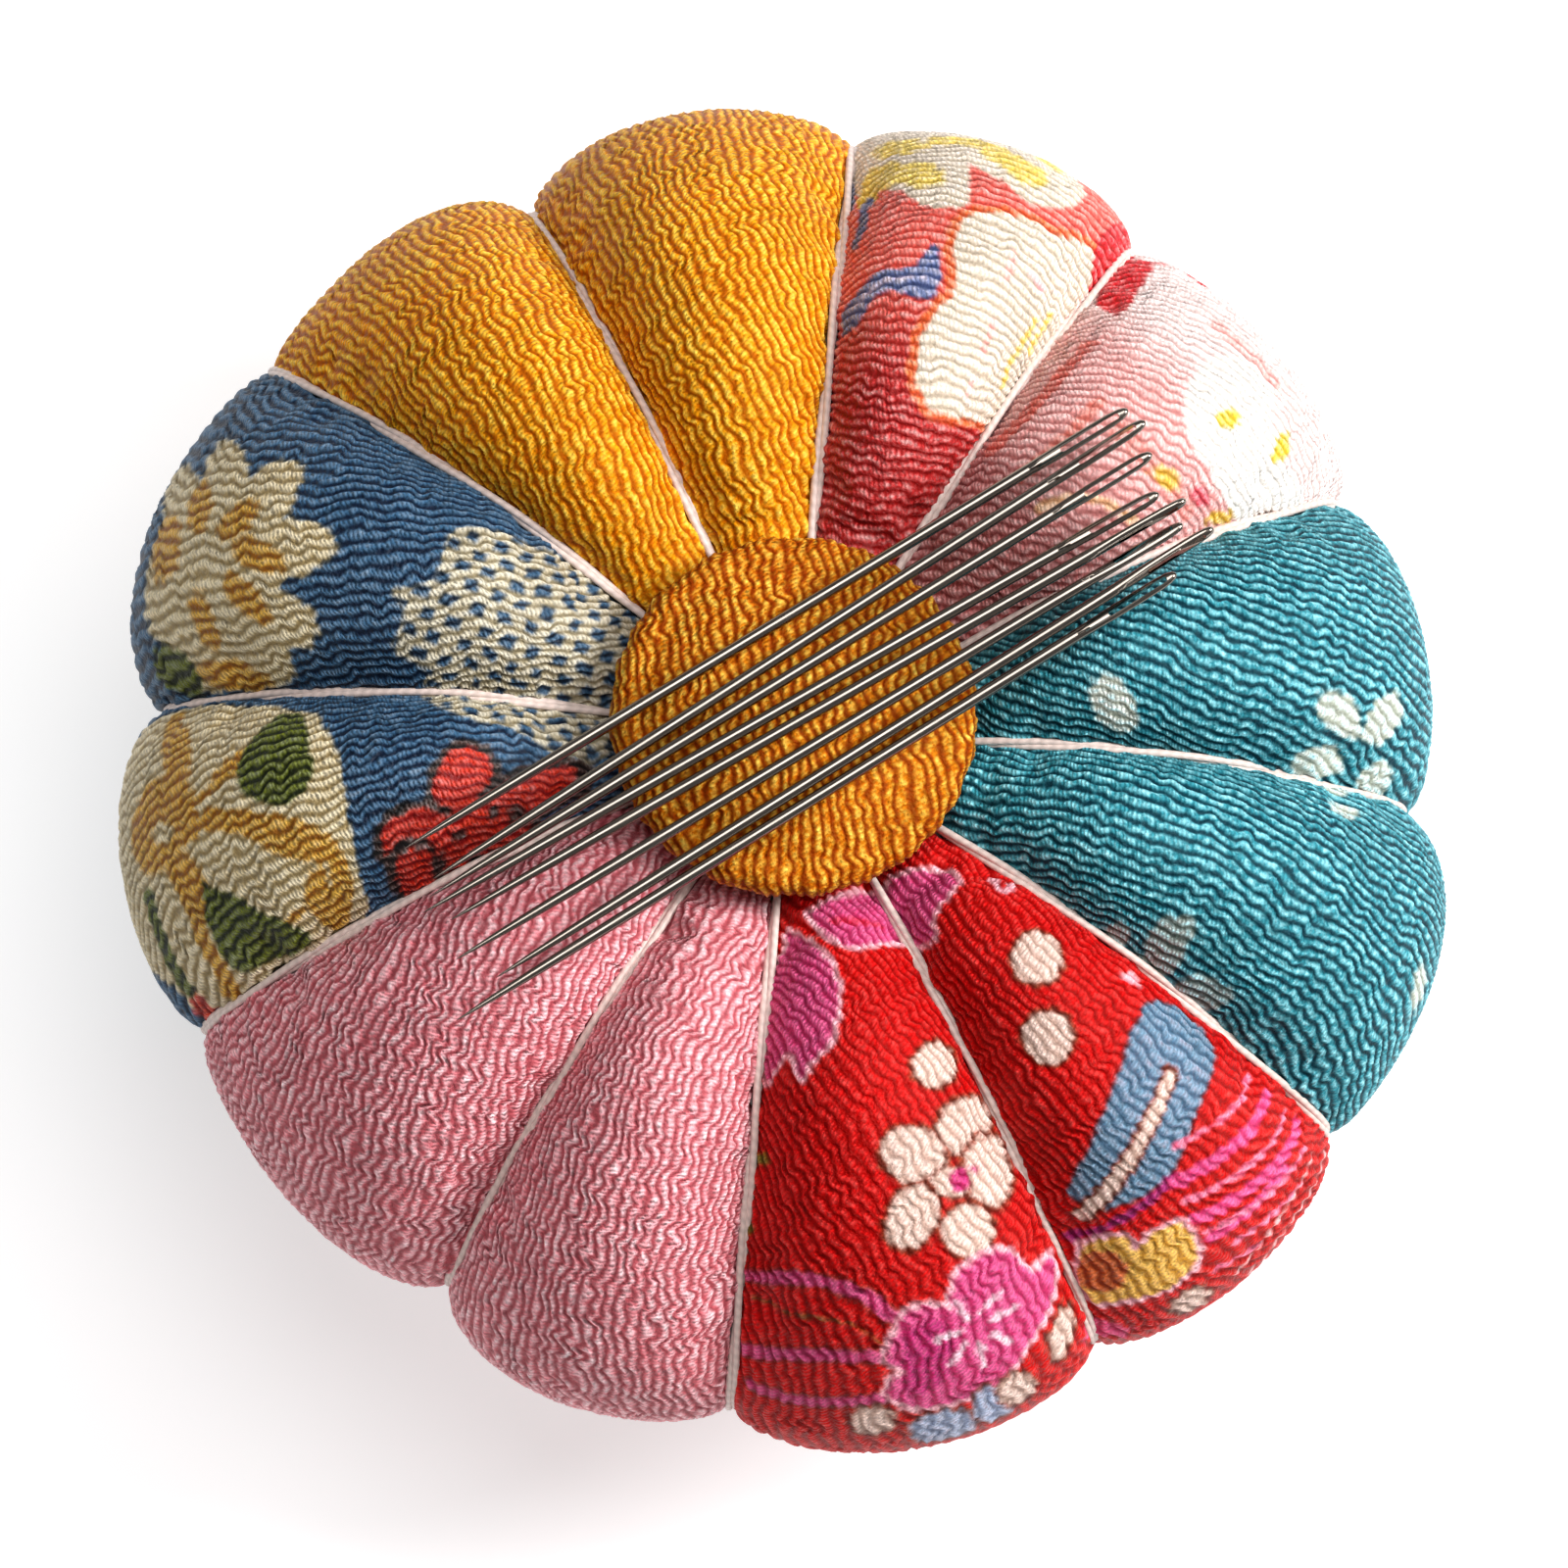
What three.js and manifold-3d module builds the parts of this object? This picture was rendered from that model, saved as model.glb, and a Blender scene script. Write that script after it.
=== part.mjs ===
// Wrist pin cushion: a twelve-lobed stuffed cushion in six fabrics, drawn in by groove threads to a
// covered button, on a felt base and an elastic wrist band that lies flat, with eight needles on top.
// Millimetres, +Z up. The origin is on the resting plane, in the middle of the cushion's outline.

import * as THREE from 'three';
import { mergeVertices } from 'three/addons/utils/BufferGeometryUtils.js';
import Module from 'manifold-3d';

const manifold = await Module();
manifold.setup();

// ---- driving dimensions ----

const GAP = 0.3; // clearance between pieces that touch

const BAND_WIDTH = 25;
const BAND_THICKNESS = 1.3;
const BAND_GAP = 5.25; // between the two runs of the flattened loop
const BAND_LENGTH = 72;
const BAND_RUN_LENGTH = 62;

const FELT_RADIUS = 27;
const FELT_THICKNESS = 1.8;
const GUARD_RADIUS = 25;
const GUARD_THICKNESS = 1;

const CUSHION_HEIGHT = 32.6; // crest of a lobe above the underside
const CUSHION_RADIUS = 40.6; // a typical lobe's crest at its widest
const GROOVE_RADIUS = 37.7; // a typical groove at its widest
const HOLE_RADIUS = 2.6; // where the gores end, round the centre tie
const COVER_THICKNESS = 0.8; // crepe with its lining
const STUFFING_INSET = 1.4;

const THREAD_RADIUS = 0.4;
const STITCH_RADIUS = 0.25;
const TIE_RADIUS = 0.45;
const TIE_SPREAD = 1;

const BUTTON_RADIUS = 11;
const BUTTON_HEIGHT = 4.4;
const BUTTON_DOME_RADIUS = 22;
const BUTTON_COVER = 0.7;
const BUTTON_METAL = 0.5;

const NEEDLE_LENGTH = 50.5;
const NEEDLE_RADIUS = 0.4;
const NEEDLE_DIRECTION = 30.5; // degrees, from the points to the eyes
const NEEDLE_DIP = 0.8; // degrees, the points lie a little lower
const EYE_LENGTH = 4.6;
const EYE_WIDTH = 0.4;
const HEAD_WIDTH = 0.9;
const HEAD_THICKNESS = 0.6;

// ---- levels, from the resting plane up ----

const RUN_TOP = BAND_THICKNESS + BAND_GAP;
const BAND_TOP = RUN_TOP + BAND_THICKNESS;
const FELT_BOTTOM = BAND_TOP + GAP;
const GUARD_BOTTOM = FELT_BOTTOM + FELT_THICKNESS + GAP;
const COVER_BOTTOM = GUARD_BOTTOM + GUARD_THICKNESS + GAP;
const CREST_TOP = COVER_BOTTOM + CUSHION_HEIGHT;
const BUTTON_BOTTOM = CREST_TOP - 3.2;
const BUTTON_TOP = BUTTON_BOTTOM + BUTTON_HEIGHT;
const SHANK_BAR = BUTTON_BOTTOM - 4.4;

// ---- the lobed cushion ----

// Grooves, counter-clockwise: direction in degrees and reach at the widest point.
const GROOVES = [
  { at: 26, reach: 36.4 },
  { at: 57, reach: 37.7 },
  { at: 84.5, reach: 38.3 },
  { at: 115, reach: 37.5 },
  { at: 142.5, reach: 39.8 },
  { at: 175, reach: 37.9 },
  { at: 204.5, reach: 38.8 },
  { at: 236.8, reach: 37.6 },
  { at: 264.5, reach: 39.1 },
  { at: 297.2, reach: 39.3 },
  { at: 325, reach: 39.1 },
  { at: 355.5, reach: 36.8 },
];

// Reach of the lobe that follows each groove.
const LOBE_REACHES = [39, 40.5, 41, 41, 41.8, 41.2, 40.5, 41.5, 42.5, 41.6, 40.9, 39];

// Half outlines, radius and height above the underside, from the top hole round to the bottom hole.
const CREST_OUTLINE = [
  [HOLE_RADIUS, 24.05],
  [11.5, 29],
  [21.5, CUSHION_HEIGHT],
  [33.5, 27.75],
  [CUSHION_RADIUS, 15.95],
  [33, 2.95],
  [20, 0],
  [HOLE_RADIUS, 0.85],
];
const GROOVE_OUTLINE = [
  [HOLE_RADIUS, 23.65],
  [11.5, 27],
  [21.5, 28.1],
  [31.8, 23.05],
  [GROOVE_RADIUS, 15.45],
  [31.5, 5.05],
  [20, 1.45],
  [HOLE_RADIUS, 1.25],
];

const STATIONS = 14; // steps along each half outline
const LOBE_STEPS = [0, 0.18, 0.5, 0.82, 1]; // steps across a lobe, groove to groove
const SEAM_HALF_GAP = GAP / 2;

function outline(points) {
  const curve = new THREE.SplineCurve(points.map(([radius, height]) => new THREE.Vector2(radius, height)));
  return curve.getPoints(STATIONS);
}

const CREST = outline(CREST_OUTLINE);
const GROOVE = outline(GROOVE_OUTLINE);

// An outline point, drawn out to a reach and moved in towards the stuffing by an inset.
function outlinePoint(line, widest, reach, station, inset) {
  const before = line[Math.max(station - 1, 0)];
  const after = line[Math.min(station + 1, STATIONS)];
  const along = new THREE.Vector2().subVectors(after, before).normalize();
  const here = line[station];
  const share = (here.x / widest) ** 2;
  return new THREE.Vector2(here.x + (reach - widest) * share + along.y * inset, here.y - along.x * inset);
}

function groovePoint(index, station, inset) {
  return outlinePoint(GROOVE, GROOVE_RADIUS, GROOVES[index % GROOVES.length].reach, station, inset);
}

function crestPoint(index, station, inset) {
  return outlinePoint(CREST, CUSHION_RADIUS, LOBE_REACHES[index % LOBE_REACHES.length], station, inset);
}

function grooveAngle(index) {
  const turns = Math.floor(index / GROOVES.length);
  return THREE.MathUtils.degToRad(GROOVES[index % GROOVES.length].at + 360 * turns);
}

function swell(across) {
  return Math.sin(Math.PI * across) ** 0.65;
}

function polar(radius, angle, height) {
  return new THREE.Vector3(radius * Math.cos(angle), radius * Math.sin(angle), COVER_BOTTOM + height);
}

// A point of the lobed surface: across runs from 0 at the groove before the lobe to 1 at the next.
function lobePoint(index, across, station, inset, seamBefore = 0, seamAfter = 0) {
  const groove = groovePoint(index, station, inset).lerp(groovePoint(index + 1, station, inset), across);
  const point = groove.lerp(crestPoint(index, station, inset), swell(across));
  const start = grooveAngle(index) + seamBefore / point.x;
  const end = grooveAngle(index + 1) - seamAfter / point.x;
  return polar(point.x, start + (end - start) * across, point.y);
}

// ---- mesh building ----

function geometryFrom(points, triangles) {
  const geometry = new THREE.BufferGeometry().setFromPoints(points);
  geometry.setIndex(triangles.flat());
  geometry.computeVertexNormals();
  return geometry;
}

// A closed skin between two grids of points of the same size; the first is the outer one.
function skinGeometry(outer, inner) {
  const rows = outer.length;
  const columns = outer[0].length;
  const points = [...outer.flat(), ...inner.flat()];
  const out = (row, column) => row * columns + column;
  const back = (row, column) => rows * columns + row * columns + column;
  const triangles = [];
  const quad = (a, b, c, d) => triangles.push([a, b, c], [a, c, d]);
  for (let row = 0; row < rows - 1; row += 1) {
    for (let column = 0; column < columns - 1; column += 1) {
      quad(out(row, column), out(row, column + 1), out(row + 1, column + 1), out(row + 1, column));
      quad(back(row, column), back(row + 1, column), back(row + 1, column + 1), back(row, column + 1));
    }
    quad(out(row, 0), out(row + 1, 0), back(row + 1, 0), back(row, 0));
    quad(out(row + 1, columns - 1), out(row, columns - 1), back(row, columns - 1), back(row + 1, columns - 1));
  }
  for (let column = 0; column < columns - 1; column += 1) {
    quad(out(0, column + 1), out(0, column), back(0, column), back(0, column + 1));
    quad(out(rows - 1, column), out(rows - 1, column + 1), back(rows - 1, column + 1), back(rows - 1, column));
  }
  return geometryFrom(points, triangles);
}

// A ring whose grid of points joins up in both directions.
function ringGeometry(grid) {
  const rows = grid.length;
  const columns = grid[0].length;
  const at = (row, column) => (row % rows) * columns + (column % columns);
  const triangles = [];
  for (let row = 0; row < rows; row += 1) {
    for (let column = 0; column < columns; column += 1) {
      triangles.push([at(row, column), at(row, column + 1), at(row + 1, column + 1)]);
      triangles.push([at(row, column), at(row + 1, column + 1), at(row + 1, column)]);
    }
  }
  return geometryFrom(grid.flat(), triangles);
}

// A curve with one straight step between each pair of stations, so a tube's rings fall on them.
class StationCurve extends THREE.Curve {
  constructor(stations) {
    super();
    this.stations = stations;
  }

  getPoint(t, target = new THREE.Vector3()) {
    const place = t * (this.stations.length - 1);
    const index = Math.min(Math.floor(place), this.stations.length - 2);
    return target.lerpVectors(this.stations[index], this.stations[index + 1], place - index);
  }

  getUtoTmapping(u) {
    return u;
  }
}

function tubeGeometry(stations, radius, sides) {
  const section = new THREE.Shape();
  for (let side = 0; side < sides; side += 1) {
    const turn = (2 * Math.PI * side) / sides;
    const move = side === 0 ? 'moveTo' : 'lineTo';
    section[move](radius * Math.cos(turn), radius * Math.sin(turn));
  }
  section.closePath();
  return new THREE.ExtrudeGeometry(section, {
    steps: stations.length - 1,
    extrudePath: new StationCurve(stations),
    bevelEnabled: false,
  });
}

// A turned piece about the vertical axis, from [radius, height] pairs listed from the top down.
function turnedGeometry(profile, segments) {
  const points = profile.map(([radius, height]) => new THREE.Vector2(radius, height)).reverse();
  return new THREE.LatheGeometry(points, segments).rotateX(Math.PI / 2);
}

function solidFrom(geometry) {
  const bare = new THREE.BufferGeometry();
  bare.setAttribute('position', geometry.getAttribute('position').clone());
  if (geometry.index) bare.setIndex(geometry.index.clone());
  const merged = mergeVertices(bare, 1e-5);
  const mesh = new manifold.Mesh({
    numProp: 3,
    vertProperties: new Float32Array(merged.getAttribute('position').array),
    triVerts: new Uint32Array(merged.index.array),
  });
  return new manifold.Manifold(mesh);
}

function geometryOf(solid) {
  const mesh = solid.getMesh();
  const geometry = new THREE.BufferGeometry();
  geometry.setAttribute('position', new THREE.BufferAttribute(mesh.vertProperties, 3));
  geometry.setIndex(new THREE.BufferAttribute(mesh.triVerts, 1));
  geometry.computeVertexNormals();
  return geometry;
}

// ---- materials ----

function cloth(color) {
  return new THREE.MeshStandardMaterial({ color, roughness: 0.85, metalness: 0 });
}

function metal(color, roughness) {
  return new THREE.MeshStandardMaterial({ color, roughness, metalness: 1 });
}

const mustardCrepe = cloth(0xe09a12);
const threadMaterial = cloth(0xe6d3cb);
const stuffingMaterial = cloth(0xf2efe8);
const feltMaterial = cloth(0x9a1c22);
const elasticMaterial = cloth(0x2b2a2c);
const guardMaterial = new THREE.MeshStandardMaterial({ color: 0xe9e9e4, roughness: 0.5, metalness: 0 });
const steel = metal(0xc9c6c0, 0.18);
const tinnedSteel = metal(0xb9b9b6, 0.35);

const object = new THREE.Group();

function add(name, geometry, material, parent = object) {
  const mesh = new THREE.Mesh(geometry, material);
  mesh.name = name;
  parent.add(mesh);
  return mesh;
}

// ---- cover: six gores of two lobes each, seamed along every second groove ----

const GORES = [
  { name: 'cover_gore_cloud', firstGroove: 0, material: cloth(0xc8383c) },
  { name: 'cover_gore_mustard', firstGroove: 2, material: mustardCrepe },
  { name: 'cover_gore_blue_floral', firstGroove: 4, material: cloth(0x3f6f9f) },
  { name: 'cover_gore_pink', firstGroove: 6, material: cloth(0xd67f92) },
  { name: 'cover_gore_red_floral', firstGroove: 8, material: cloth(0xd3201d) },
  { name: 'cover_gore_teal', firstGroove: 10, material: cloth(0x1f8f9d) },
];

function goreGrid(firstGroove, inset) {
  const grid = [];
  for (let station = 0; station <= STATIONS; station += 1) {
    const before = LOBE_STEPS.map((across) => lobePoint(firstGroove, across, station, inset, SEAM_HALF_GAP, 0));
    const after = LOBE_STEPS.map((across) => lobePoint(firstGroove + 1, across, station, inset, 0, SEAM_HALF_GAP));
    grid.push([...before, ...after.slice(1)].reverse());
  }
  return grid;
}

for (const gore of GORES) {
  const geometry = skinGeometry(goreGrid(gore.firstGroove, 0), goreGrid(gore.firstGroove, COVER_THICKNESS));
  add(gore.name, geometry, gore.material);
}

// ---- stuffing: one lobed ring of polyester round the centre tie ----

function stuffingGrid() {
  const grid = [];
  for (let lobe = 0; lobe < GROOVES.length; lobe += 1) {
    for (const across of LOBE_STEPS.slice(0, -1)) {
      const column = [];
      for (let station = 0; station <= STATIONS; station += 1) {
        column.push(lobePoint(lobe, across, station, STUFFING_INSET));
      }
      grid.push(column);
    }
  }
  return grid;
}

add('stuffing', ringGeometry(stuffingGrid()), stuffingMaterial);

// ---- groove threads, each from under the button round to the base ----

// A round thread bears on both flanks of its groove, so it lies higher where the groove is steep.
function threadLift(index, station) {
  const groove = groovePoint(index, station, 0);
  const depth = groove.distanceTo(crestPoint(index, station, 0));
  const flank = LOBE_STEPS[1];
  const lobeWidth = groove.x * THREE.MathUtils.degToRad(360 / GROOVES.length);
  const slope = (depth * swell(flank)) / (lobeWidth * flank);
  return (THREAD_RADIUS + GAP) * Math.hypot(1, slope);
}

function threadStations(index) {
  const stations = [];
  for (let station = 0; station <= STATIONS; station += 1) {
    const point = groovePoint(index, station, -threadLift(index, station));
    stations.push(polar(point.x, grooveAngle(index), point.y));
  }
  stations[0].lerp(stations[1], 0.45);
  stations[STATIONS].lerp(stations[STATIONS - 1], 0.3);
  return stations;
}

for (let index = 0; index < GROOVES.length; index += 1) {
  const number = String(index + 1).padStart(2, '0');
  add(`groove_thread_${number}`, tubeGeometry(threadStations(index), THREAD_RADIUS, 6), threadMaterial);
}

// ---- centre tie: a doubled cord from the button's shank down to a knot ----

function tieStations() {
  const apex = SHANK_BAR + 0.5 + GAP + TIE_RADIUS;
  const foot = COVER_BOTTOM + 1.7;
  const stations = [];
  const arcSteps = 6;
  stations.push(new THREE.Vector3(-TIE_SPREAD, 0, foot));
  for (let step = 0; step <= arcSteps; step += 1) {
    const turn = Math.PI * (1 - step / arcSteps);
    const height = apex - TIE_SPREAD + TIE_SPREAD * Math.sin(turn);
    stations.push(new THREE.Vector3(TIE_SPREAD * Math.cos(turn), 0, height));
  }
  stations.push(new THREE.Vector3(TIE_SPREAD, 0, foot));
  return stations;
}

add('centre_tie', tubeGeometry(tieStations(), TIE_RADIUS, 6), threadMaterial);

const knotProfile = [
  [0, 1.35],
  [1.1, 1.2],
  [1.9, 0.7],
  [1.1, 0.2],
  [0, 0.05],
];
const knot = add('tie_knot', turnedGeometry(knotProfile, 10), threadMaterial);
knot.position.z = COVER_BOTTOM;

// ---- covered button: crepe over a pressed shell, a back plate and a wire shank ----

// Half profile of the dome at a depth inside the button's skin, from the middle to the rim.
function domeProfile(inset) {
  const rim = BUTTON_RADIUS - inset;
  const top = BUTTON_TOP - inset;
  const shoulder = rim - 2;
  const points = [[0, top]];
  for (const share of [0.35, 0.7, 1]) {
    const radius = shoulder * share;
    points.push([radius, top - radius ** 2 / (2 * BUTTON_DOME_RADIUS)]);
  }
  const shoulderHeight = points[points.length - 1][1];
  points.push([rim - 0.5, shoulderHeight - 0.7], [rim, shoulderHeight - 1.7]);
  return points;
}

const tuckRadius = 8.4;
const buttonCoverProfile = [
  ...domeProfile(0),
  [BUTTON_RADIUS - 0.7, BUTTON_BOTTOM],
  [tuckRadius, BUTTON_BOTTOM],
  [tuckRadius, BUTTON_BOTTOM + 0.5],
  [BUTTON_RADIUS - 1.4, BUTTON_BOTTOM + 0.6],
  ...domeProfile(BUTTON_COVER).reverse(),
];
add('button_cover', turnedGeometry(buttonCoverProfile, 24), mustardCrepe);

const shellInset = BUTTON_COVER + GAP;
const shellEdge = BUTTON_BOTTOM + 0.95;
const buttonShellProfile = [
  ...domeProfile(shellInset).slice(0, -1),
  [BUTTON_RADIUS - shellInset - 0.5, shellEdge],
  [BUTTON_RADIUS - shellInset - 0.5 - BUTTON_METAL, shellEdge],
  ...domeProfile(shellInset + BUTTON_METAL).slice(0, -1).reverse(),
];
add('button_shell', turnedGeometry(buttonShellProfile, 20), tinnedSteel);

const backProfile = [
  [0, BUTTON_BOTTOM + BUTTON_METAL],
  [tuckRadius - GAP, BUTTON_BOTTOM + BUTTON_METAL],
  [tuckRadius - GAP, BUTTON_BOTTOM],
  [0, BUTTON_BOTTOM],
];
add('button_back', turnedGeometry(backProfile, 20), tinnedSteel);

const shankTop = BUTTON_BOTTOM - GAP;
const shankHalf = 1.4;
const shankStations = [
  new THREE.Vector3(0, -shankHalf, shankTop),
  new THREE.Vector3(0, -shankHalf, SHANK_BAR + 0.7),
  new THREE.Vector3(0, -shankHalf + 0.5, SHANK_BAR),
  new THREE.Vector3(0, shankHalf - 0.5, SHANK_BAR),
  new THREE.Vector3(0, shankHalf, SHANK_BAR + 0.7),
  new THREE.Vector3(0, shankHalf, shankTop),
];
add('button_shank', tubeGeometry(shankStations, 0.45, 6), tinnedSteel);

// ---- base: needle guard, felt disc and its stitching ----

function discGeometry(radius, bottom, thickness, segments) {
  const disc = new THREE.CylinderGeometry(radius, radius, thickness, segments);
  return disc.rotateX(Math.PI / 2).translate(0, 0, bottom + thickness / 2);
}

add('needle_guard', discGeometry(GUARD_RADIUS, GUARD_BOTTOM, GUARD_THICKNESS, 36), guardMaterial);
add('base_felt', discGeometry(FELT_RADIUS, FELT_BOTTOM, FELT_THICKNESS, 36), feltMaterial);

// Whip stitches go down over the felt's edge and up to the cover, all the way round.
function feltStitchStations() {
  const stitches = 24;
  const stations = [];
  for (let step = 0; step < 2 * stitches; step += 1) {
    const turn = (Math.PI * step) / stitches;
    const low = step % 2 === 0;
    const radius = low ? FELT_RADIUS + 0.6 : FELT_RADIUS + 1;
    const height = low ? FELT_BOTTOM + 0.8 : COVER_BOTTOM + 0.1;
    stations.push(new THREE.Vector3(radius * Math.cos(turn), radius * Math.sin(turn), height));
  }
  return stations;
}

add('felt_stitching', tubeGeometry(feltStitchStations(), STITCH_RADIUS, 5), cloth(0xb0363a));

// ---- wrist band: a flattened elastic loop in four lengths, sewn to the felt in two rows ----

function runGeometry(bottom) {
  const run = new THREE.BoxGeometry(BAND_RUN_LENGTH, BAND_WIDTH, BAND_THICKNESS);
  return run.translate(0, 0, bottom + BAND_THICKNESS / 2);
}

function bandSideGeometry() {
  const outer = BAND_TOP / 2;
  const inner = outer - BAND_THICKNESS;
  const start = BAND_RUN_LENGTH / 2 + GAP;
  const centre = BAND_LENGTH / 2 - outer;
  const shape = new THREE.Shape();
  shape.moveTo(start, 0);
  shape.lineTo(centre, 0);
  shape.absarc(centre, outer, outer, -Math.PI / 2, Math.PI / 2, false);
  shape.lineTo(start, BAND_TOP);
  shape.lineTo(start, RUN_TOP);
  shape.lineTo(centre, RUN_TOP);
  shape.absarc(centre, outer, inner, Math.PI / 2, -Math.PI / 2, true);
  shape.lineTo(start, BAND_THICKNESS);
  shape.closePath();
  const side = new THREE.ExtrudeGeometry(shape, { depth: BAND_WIDTH, bevelEnabled: false, curveSegments: 8 });
  return side.translate(0, 0, -BAND_WIDTH / 2).rotateX(Math.PI / 2);
}

add('wristband_lower_run', runGeometry(0), elasticMaterial);
add('wristband_upper_run', runGeometry(RUN_TOP), elasticMaterial);
add('wristband_side_right', bandSideGeometry(), elasticMaterial);
add('wristband_side_left', bandSideGeometry().rotateZ(Math.PI), elasticMaterial);

const bandStitchX = 22;
for (const [name, x] of [['band_stitching_left', -bandStitchX], ['band_stitching_right', bandStitchX]]) {
  const stations = [];
  const steps = 14;
  for (let step = 0; step <= steps; step += 1) {
    const sway = step % 2 === 0 ? -0.8 : 0.8;
    const y = (step / steps - 0.5) * (BAND_WIDTH - 4);
    stations.push(new THREE.Vector3(x + sway, y, RUN_TOP - GAP - STITCH_RADIUS));
  }
  add(name, tubeGeometry(stations, STITCH_RADIUS, 5), threadMaterial);
}

// ---- needles, side by side on the button and the lobes ----

// For each needle: how far its point and its eye end lie to the right of the button's middle, seen
// along the needle from its point, and how far its middle is ahead of the button.
const NEEDLES = [
  { point: -4.3, eye: -5.3, ahead: 1 },
  { point: -1.8, eye: -4.1, ahead: 1.5 },
  { point: -0.95, eye: -2.2, ahead: 0.8 },
  { point: -0.3, eye: 0.1, ahead: -0.1 },
  { point: 0.9, eye: 1.25, ahead: 1.1 },
  { point: 3.1, eye: 2.4, ahead: 0.2 },
  { point: 5.2, eye: 3.5, ahead: 1.7 },
  { point: 6.2, eye: 4.7, ahead: -1.6 },
];

function needleHeadShape() {
  const half = HEAD_WIDTH / 2;
  const eyeHalf = EYE_WIDTH / 2;
  const end = NEEDLE_LENGTH / 2;
  const eyeStart = end - 0.6 - EYE_LENGTH;
  const neck = eyeStart - 1.8;
  const shape = new THREE.Shape();
  shape.moveTo(neck, -NEEDLE_RADIUS * 0.8);
  shape.lineTo(eyeStart, -half);
  shape.lineTo(end - half, -half);
  shape.absarc(end - half, 0, half, -Math.PI / 2, Math.PI / 2, false);
  shape.lineTo(eyeStart, half);
  shape.lineTo(neck, NEEDLE_RADIUS * 0.8);
  shape.closePath();
  const eye = new THREE.Path();
  eye.moveTo(eyeStart + eyeHalf, eyeHalf);
  eye.absarc(eyeStart + eyeHalf, 0, eyeHalf, Math.PI / 2, -Math.PI / 2, false);
  eye.absarc(eyeStart + EYE_LENGTH - eyeHalf, 0, eyeHalf, -Math.PI / 2, Math.PI / 2, false);
  eye.closePath();
  shape.holes.push(eye);
  return { shape, eyeStart };
}

function needleGeometry() {
  const { shape, eyeStart } = needleHeadShape();
  const extrusion = { depth: HEAD_THICKNESS, bevelEnabled: false, curveSegments: 4 };
  const head = new THREE.ExtrudeGeometry(shape, extrusion).translate(0, 0, -HEAD_THICKNESS / 2);
  const tip = -NEEDLE_LENGTH / 2;
  const shaftProfile = [
    [0, tip],
    [NEEDLE_RADIUS * 0.6, tip + 3],
    [NEEDLE_RADIUS, tip + 8],
    [NEEDLE_RADIUS, eyeStart - 1.6],
    [0, eyeStart - 0.2],
  ];
  const shaftPoints = shaftProfile.map(([radius, along]) => new THREE.Vector2(radius, along));
  const shaft = new THREE.LatheGeometry(shaftPoints, 8).rotateZ(-Math.PI / 2);
  return geometryOf(solidFrom(shaft).add(solidFrom(head)));
}

const needle = needleGeometry();
const along = THREE.MathUtils.degToRad(NEEDLE_DIRECTION);
const forward = new THREE.Vector2(Math.cos(along), Math.sin(along));
const right = new THREE.Vector2(forward.y, -forward.x);

NEEDLES.forEach(({ point, eye, ahead }, index) => {
  const aside = (point + eye) / 2;
  const domeHeight = BUTTON_TOP - aside ** 2 / (2 * BUTTON_DOME_RADIUS);
  const height = Math.max(CREST_TOP, domeHeight) + GAP + NEEDLE_RADIUS;
  const mesh = add(`needle_${index + 1}`, needle, steel);
  const middle = forward.clone().multiplyScalar(ahead).addScaledVector(right, aside);
  const swing = Math.asin((eye - point) / NEEDLE_LENGTH);
  mesh.position.set(middle.x, middle.y, height);
  mesh.rotation.set(0, -THREE.MathUtils.degToRad(NEEDLE_DIP), along - swing, 'ZYX');
});

// ---- stand the object with the middle of its outline on the origin ----

const middle = new THREE.Box3().setFromObject(object).getCenter(new THREE.Vector3());
object.position.set(-middle.x, -middle.y, 0);

export default object;
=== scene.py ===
"""Looks of the wrist pin cushion: crepe gores, groove threads, covered button, needles, felt and band.

Shapes are worked out in millimetres round the button's axis, from the underside of the cover up, and
turned into metres when a mesh is made.
"""

import math

import bpy
import numpy as np
from mathutils import Matrix, Vector


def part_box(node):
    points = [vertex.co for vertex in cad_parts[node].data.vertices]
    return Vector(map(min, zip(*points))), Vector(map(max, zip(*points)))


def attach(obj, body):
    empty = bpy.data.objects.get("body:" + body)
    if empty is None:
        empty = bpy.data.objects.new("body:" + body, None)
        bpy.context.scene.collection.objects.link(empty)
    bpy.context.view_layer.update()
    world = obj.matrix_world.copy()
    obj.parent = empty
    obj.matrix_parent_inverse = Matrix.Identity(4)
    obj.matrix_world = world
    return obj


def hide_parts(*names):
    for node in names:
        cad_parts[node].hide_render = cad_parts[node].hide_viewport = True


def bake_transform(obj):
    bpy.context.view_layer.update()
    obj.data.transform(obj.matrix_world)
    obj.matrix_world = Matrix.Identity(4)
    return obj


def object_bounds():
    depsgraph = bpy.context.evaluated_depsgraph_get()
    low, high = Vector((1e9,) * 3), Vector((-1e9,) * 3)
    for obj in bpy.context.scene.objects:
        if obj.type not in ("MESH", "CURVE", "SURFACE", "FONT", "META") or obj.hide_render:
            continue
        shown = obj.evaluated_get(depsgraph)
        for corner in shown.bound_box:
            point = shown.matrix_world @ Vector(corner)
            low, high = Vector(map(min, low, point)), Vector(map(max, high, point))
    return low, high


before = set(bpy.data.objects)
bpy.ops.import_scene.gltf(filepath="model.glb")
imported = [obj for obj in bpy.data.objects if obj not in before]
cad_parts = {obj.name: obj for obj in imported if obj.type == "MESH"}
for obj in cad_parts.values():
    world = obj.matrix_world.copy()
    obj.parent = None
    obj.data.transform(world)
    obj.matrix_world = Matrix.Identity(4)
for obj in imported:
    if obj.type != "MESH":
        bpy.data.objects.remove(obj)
cad_low, cad_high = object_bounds()

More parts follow.
